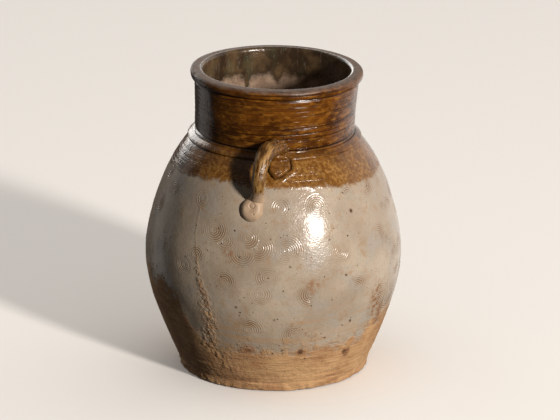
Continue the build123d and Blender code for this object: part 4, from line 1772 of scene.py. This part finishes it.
def fired_clay(name, ash=False, iron=False, worn=False, lined=False, streaked=False, thin=False):
    """A stoneware material: bare clay, and over it the layers that are asked for."""
    material = bpy.data.materials.new(name)
    material.use_nodes = True
    tree = material.node_tree
    shader = tree.nodes["Principled BSDF"]
    spots = add(tree, "ShaderNodeTexCoord").outputs["Object"]
    drawn = add(tree, "ShaderNodeMapping", {"Vector": spots, "Scale": (0.09, 0.09, 1.0)}).outputs[0]
    layer = clay_layer(tree, spots, drawn)
    if ash:
        layer = over(tree, ash_cover(tree, spots), layer, ash_layer(tree, spots, drawn))
    if iron:
        layer = over(tree, iron_cover(tree, spots), layer, iron_layer(tree, spots))
    if thin:
        layer = rubbed_thin(tree, spots, layer)
    if streaked:
        layer = streaked_rod(tree, spots, layer)
    if worn:
        layer = worn_lip(tree, spots, layer)
    if lined:
        inside = add(tree, "ShaderNodeAttribute", attribute_name="inside").outputs["Fac"]
        inner = add(
            tree, "ShaderNodeMapRange",
            {0: inside, 1: 0.3, 2: 0.8},
            interpolation_type="SMOOTHSTEP",
        ).outputs[0]
        layer = over(tree, inner, layer, inside_layer(tree, spots))
    bump = add(tree, "ShaderNodeBump", {"Height": layer[2], "Distance": MM, "Strength": 1.0})
    tree.links.new(layer[0], shader.inputs["Base Color"])
    if isinstance(layer[1], float):
        shader.inputs["Roughness"].default_value = layer[1]
    else:
        tree.links.new(layer[1], shader.inputs["Roughness"])
    tree.links.new(bump.outputs[0], shader.inputs["Normal"])
    shader.inputs["IOR"].default_value = 1.5
    print("finish:", name, len(tree.nodes), "nodes")
    return material


bare = fired_clay("bare_buff_stoneware")
ash_wall = fired_clay("wood_ash_glaze_on_stoneware", ash=True, lined=True)
dipped = fired_clay("iron_glaze_over_ash_glaze", ash=True, iron=True, lined=True)
iron = fired_clay("iron_glaze_on_stoneware", iron=True, lined=True)
thin_ash = fired_clay("thin_ash_glaze_on_stoneware", ash=True, thin=True)
rod_finish = fired_clay("iron_glaze_streaked_along_the_rod", ash=True, thin=True, streaked=True)
worn_iron = fired_clay("iron_glaze_worn_from_the_lip", iron=True, worn=True, lined=True)

FINISHES = {
    "base_slab": (bare, "bare_clay"),
    "lower_wall_course": (ash_wall, "bare_clay"),
    "belly_wall_course": (ash_wall, "grey_glaze"),
    "upper_wall_course": (ash_wall, "grey_glaze"),
    "shoulder_course": (dipped, "grey_glaze"),
    "neck_cordon": (iron, "brown_glaze"),
    "neck_collar": (iron, "brown_glaze"),
    "rim_lip": (worn_iron, "brown_glaze"),
    "handle_rod": (rod_finish, "brown_glaze"),
    "handle_upper_pad": (iron, "brown_glaze"),
    "handle_lower_pad": (thin_ash, "grey_glaze"),
}
for node, piece in pieces.items():
    finish, slot = FINISHES[node]
    piece.data.materials.clear()
    piece.data.materials.append(finish)
    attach(piece, "root")
    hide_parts(node)

# %% [markdown]
# ## The studio
# A plain pale floor, one soft lamp low on the right for the long highlight, and a room. The
# room is a pale wall behind the jar and dimness in front of it, so the glaze has something
# to mirror: a bright strip down each side. The camera sees an even pale backdrop instead. The
# floor has a lamp of its own overhead, kept from lighting the jar, so that the jar keeps its
# dark side. The jar has one behind it, kept from the floor, so that its back can be seen.

# %% Floor, light and camera
from mathutils import Vector


def stage_material():
    material = bpy.data.materials.new("matt_studio_paper")
    material.use_nodes = True
    shader = material.node_tree.nodes["Principled BSDF"]
    shader.inputs["Base Color"].default_value = colour("#E9E6E1")
    shader.inputs["Roughness"].default_value = 0.9
    shader.inputs["Specular IOR Level"].default_value = 0.0
    return material


bpy.ops.object.select_all(action="DESELECT")
bpy.ops.mesh.primitive_plane_add(size=24.0, location=(0, 0, -0.0006))
floor = bpy.context.object
floor.name = "studio_floor"
floor.data.materials.append(stage_material())
floor.visible_diffuse = False
floor.visible_glossy = False


def aim(thing, place, target):
    """Puts a lamp or camera at a place, looking at a target; both in metres."""
    thing.location = place
    thing.rotation_euler = (Vector(target) - Vector(place)).to_track_quat("-Z", "Y").to_euler()


def from_azimuth(azimuth, elevation, distance, target):
    turn, rise = math.radians(azimuth), math.radians(elevation)
    return (
        target[0] + distance * math.cos(rise) * math.sin(turn),
        target[1] - distance * math.cos(rise) * math.cos(turn),
        target[2] + distance * math.sin(rise),
    )


def lamp(name, azimuth, elevation, distance, size, power, tint):
    bpy.ops.object.light_add(type="AREA")
    made = bpy.context.object
    made.name = name
    made.data.shape = "RECTANGLE"
    made.data.size, made.data.size_y = size
    made.data.energy = power
    made.data.color = colour(tint)[:3]
    middle = (0, 0, JAR_TOP / 2 * MM)
    aim(made, from_azimuth(azimuth, elevation, distance, middle), middle)
    return made


lamp("key_window", 42, 17.8, 8.0, (0.70, 1.10), 840, "#FFF7F0")
overhead = lamp("lamp_for_the_floor", 0, 89.9, 5.0, (30, 30), 1500, "#FFFDFB")
floor_only = bpy.data.collections.new("lit_by_the_lamp_for_the_floor")
floor_only.objects.link(floor)
overhead.light_linking.receiver_collection = floor_only
back_fill = lamp("lamp_for_the_back", 205, 24, 2.2, (1.6, 1.4), 30, "#FFFBF6")
jar_only = bpy.data.collections.new("lit_by_the_lamp_for_the_back")
for piece in pieces.values():
    jar_only.objects.link(piece)
back_fill.light_linking.receiver_collection = jar_only

room = bpy.data.worlds.new("pale_room")
bpy.context.scene.world = room
room.use_nodes = True
sky = room.node_tree
background = sky.nodes["Background"]
towards = add(sky, "ShaderNodeTexCoord").outputs["Generated"]
x, y, z = add(sky, "ShaderNodeSeparateXYZ", {0: towards}).outputs
# the bearing is 0 straight behind the jar, and positive to the right, in radians
bearing = add(sky, "ShaderNodeMath", {0: x, 1: y}, operation="ARCTAN2").outputs[0]
left_end = add(
    sky, "ShaderNodeMapRange",
    {0: bearing, 1: -1.36, 2: -1.3},
    interpolation_type="SMOOTHSTEP",
).outputs[0]
past_shade = add(
    sky, "ShaderNodeMapRange",
    {0: bearing, 1: -0.1, 2: 0.05},
    interpolation_type="SMOOTHSTEP",
).outputs[0]
right_end = add(
    sky, "ShaderNodeMapRange",
    {0: bearing, 1: 1.75, 2: 1.15},
    interpolation_type="SMOOTHSTEP",
).outputs[0]
wall = add(sky, "ShaderNodeMath", {0: left_end, 1: right_end}, operation="MULTIPLY").outputs[0]
strip = add(
    sky, "ShaderNodeMapRange",
    {0: bearing, 1: -0.74, 2: -0.84},
    interpolation_type="SMOOTHSTEP",
).outputs[0]
# radiance of the sunlit wall behind on the right, of its strip past the jar's shadow on the
# left, of the shadow, of the dim room in front, of a wooden table, and of the ceiling
WALL_LIGHT, STRIP_LIGHT, SHADE_LIGHT = 0.95, 0.48, 0.06
ROOM_LIGHT, TABLE_LIGHT, CEILING_LIGHT = 0.03, 0.05, 0.15
BACKDROP_LIGHT = 0.80           # what the camera sees past the floor
radiance = add(
    sky, "ShaderNodeMath",
    {0: past_shade, 1: WALL_LIGHT - SHADE_LIGHT, 2: SHADE_LIGHT},
    operation="MULTIPLY_ADD",
).outputs[0]
radiance = add(
    sky, "ShaderNodeMath",
    {0: strip, 1: STRIP_LIGHT - SHADE_LIGHT, 2: radiance},
    operation="MULTIPLY_ADD",
).outputs[0]
amount = add(sky, "ShaderNodeMath", {0: radiance, 1: ROOM_LIGHT}, operation="SUBTRACT").outputs[0]
radiance = add(
    sky, "ShaderNodeMath",
    {0: amount, 1: wall, 2: ROOM_LIGHT},
    operation="MULTIPLY_ADD",
).outputs[0]
below = add(
    sky, "ShaderNodeMapRange",
    {0: z, 1: -0.36, 2: -0.5},
    interpolation_type="SMOOTHSTEP",
).outputs[0]
radiance = add(sky, "ShaderNodeMix", {0: below, 2: radiance, 3: TABLE_LIGHT}).outputs[0]
overhead_dim = add(
    sky, "ShaderNodeMapRange",
    {0: z, 1: 0.55, 2: 0.8},
    interpolation_type="SMOOTHSTEP",
).outputs[0]
radiance = add(sky, "ShaderNodeMix", {0: overhead_dim, 2: radiance, 3: CEILING_LIGHT}).outputs[0]
seen = add(sky, "ShaderNodeLightPath").outputs["Is Camera Ray"]
radiance = add(sky, "ShaderNodeMix", {0: seen, 2: radiance, 3: BACKDROP_LIGHT}).outputs[0]
sky.links.new(radiance, background.inputs[1])
background.inputs[0].default_value = colour("#FFF8F2")
bpy.context.scene.view_settings.view_transform = "Standard"

CAMERA_AZIMUTH = 4.7
CAMERA_ELEVATION = 17.9
CAMERA_DISTANCE = 2.9
CAMERA_LENS = 188.7
CAMERA_SHIFT = (6.4 / 560, 5.0 / 560)
middle = (0, 0, JAR_TOP / 2 * MM)
bpy.ops.object.camera_add()
camera = bpy.context.object
camera.name = "camera"
camera.data.lens = CAMERA_LENS
camera.data.sensor_width = 36.0
camera.data.clip_end = 40.0
aim(camera, from_azimuth(CAMERA_AZIMUTH, CAMERA_ELEVATION, CAMERA_DISTANCE, middle), middle)
camera.data.shift_x, camera.data.shift_y = CAMERA_SHIFT
bpy.context.scene.camera = camera
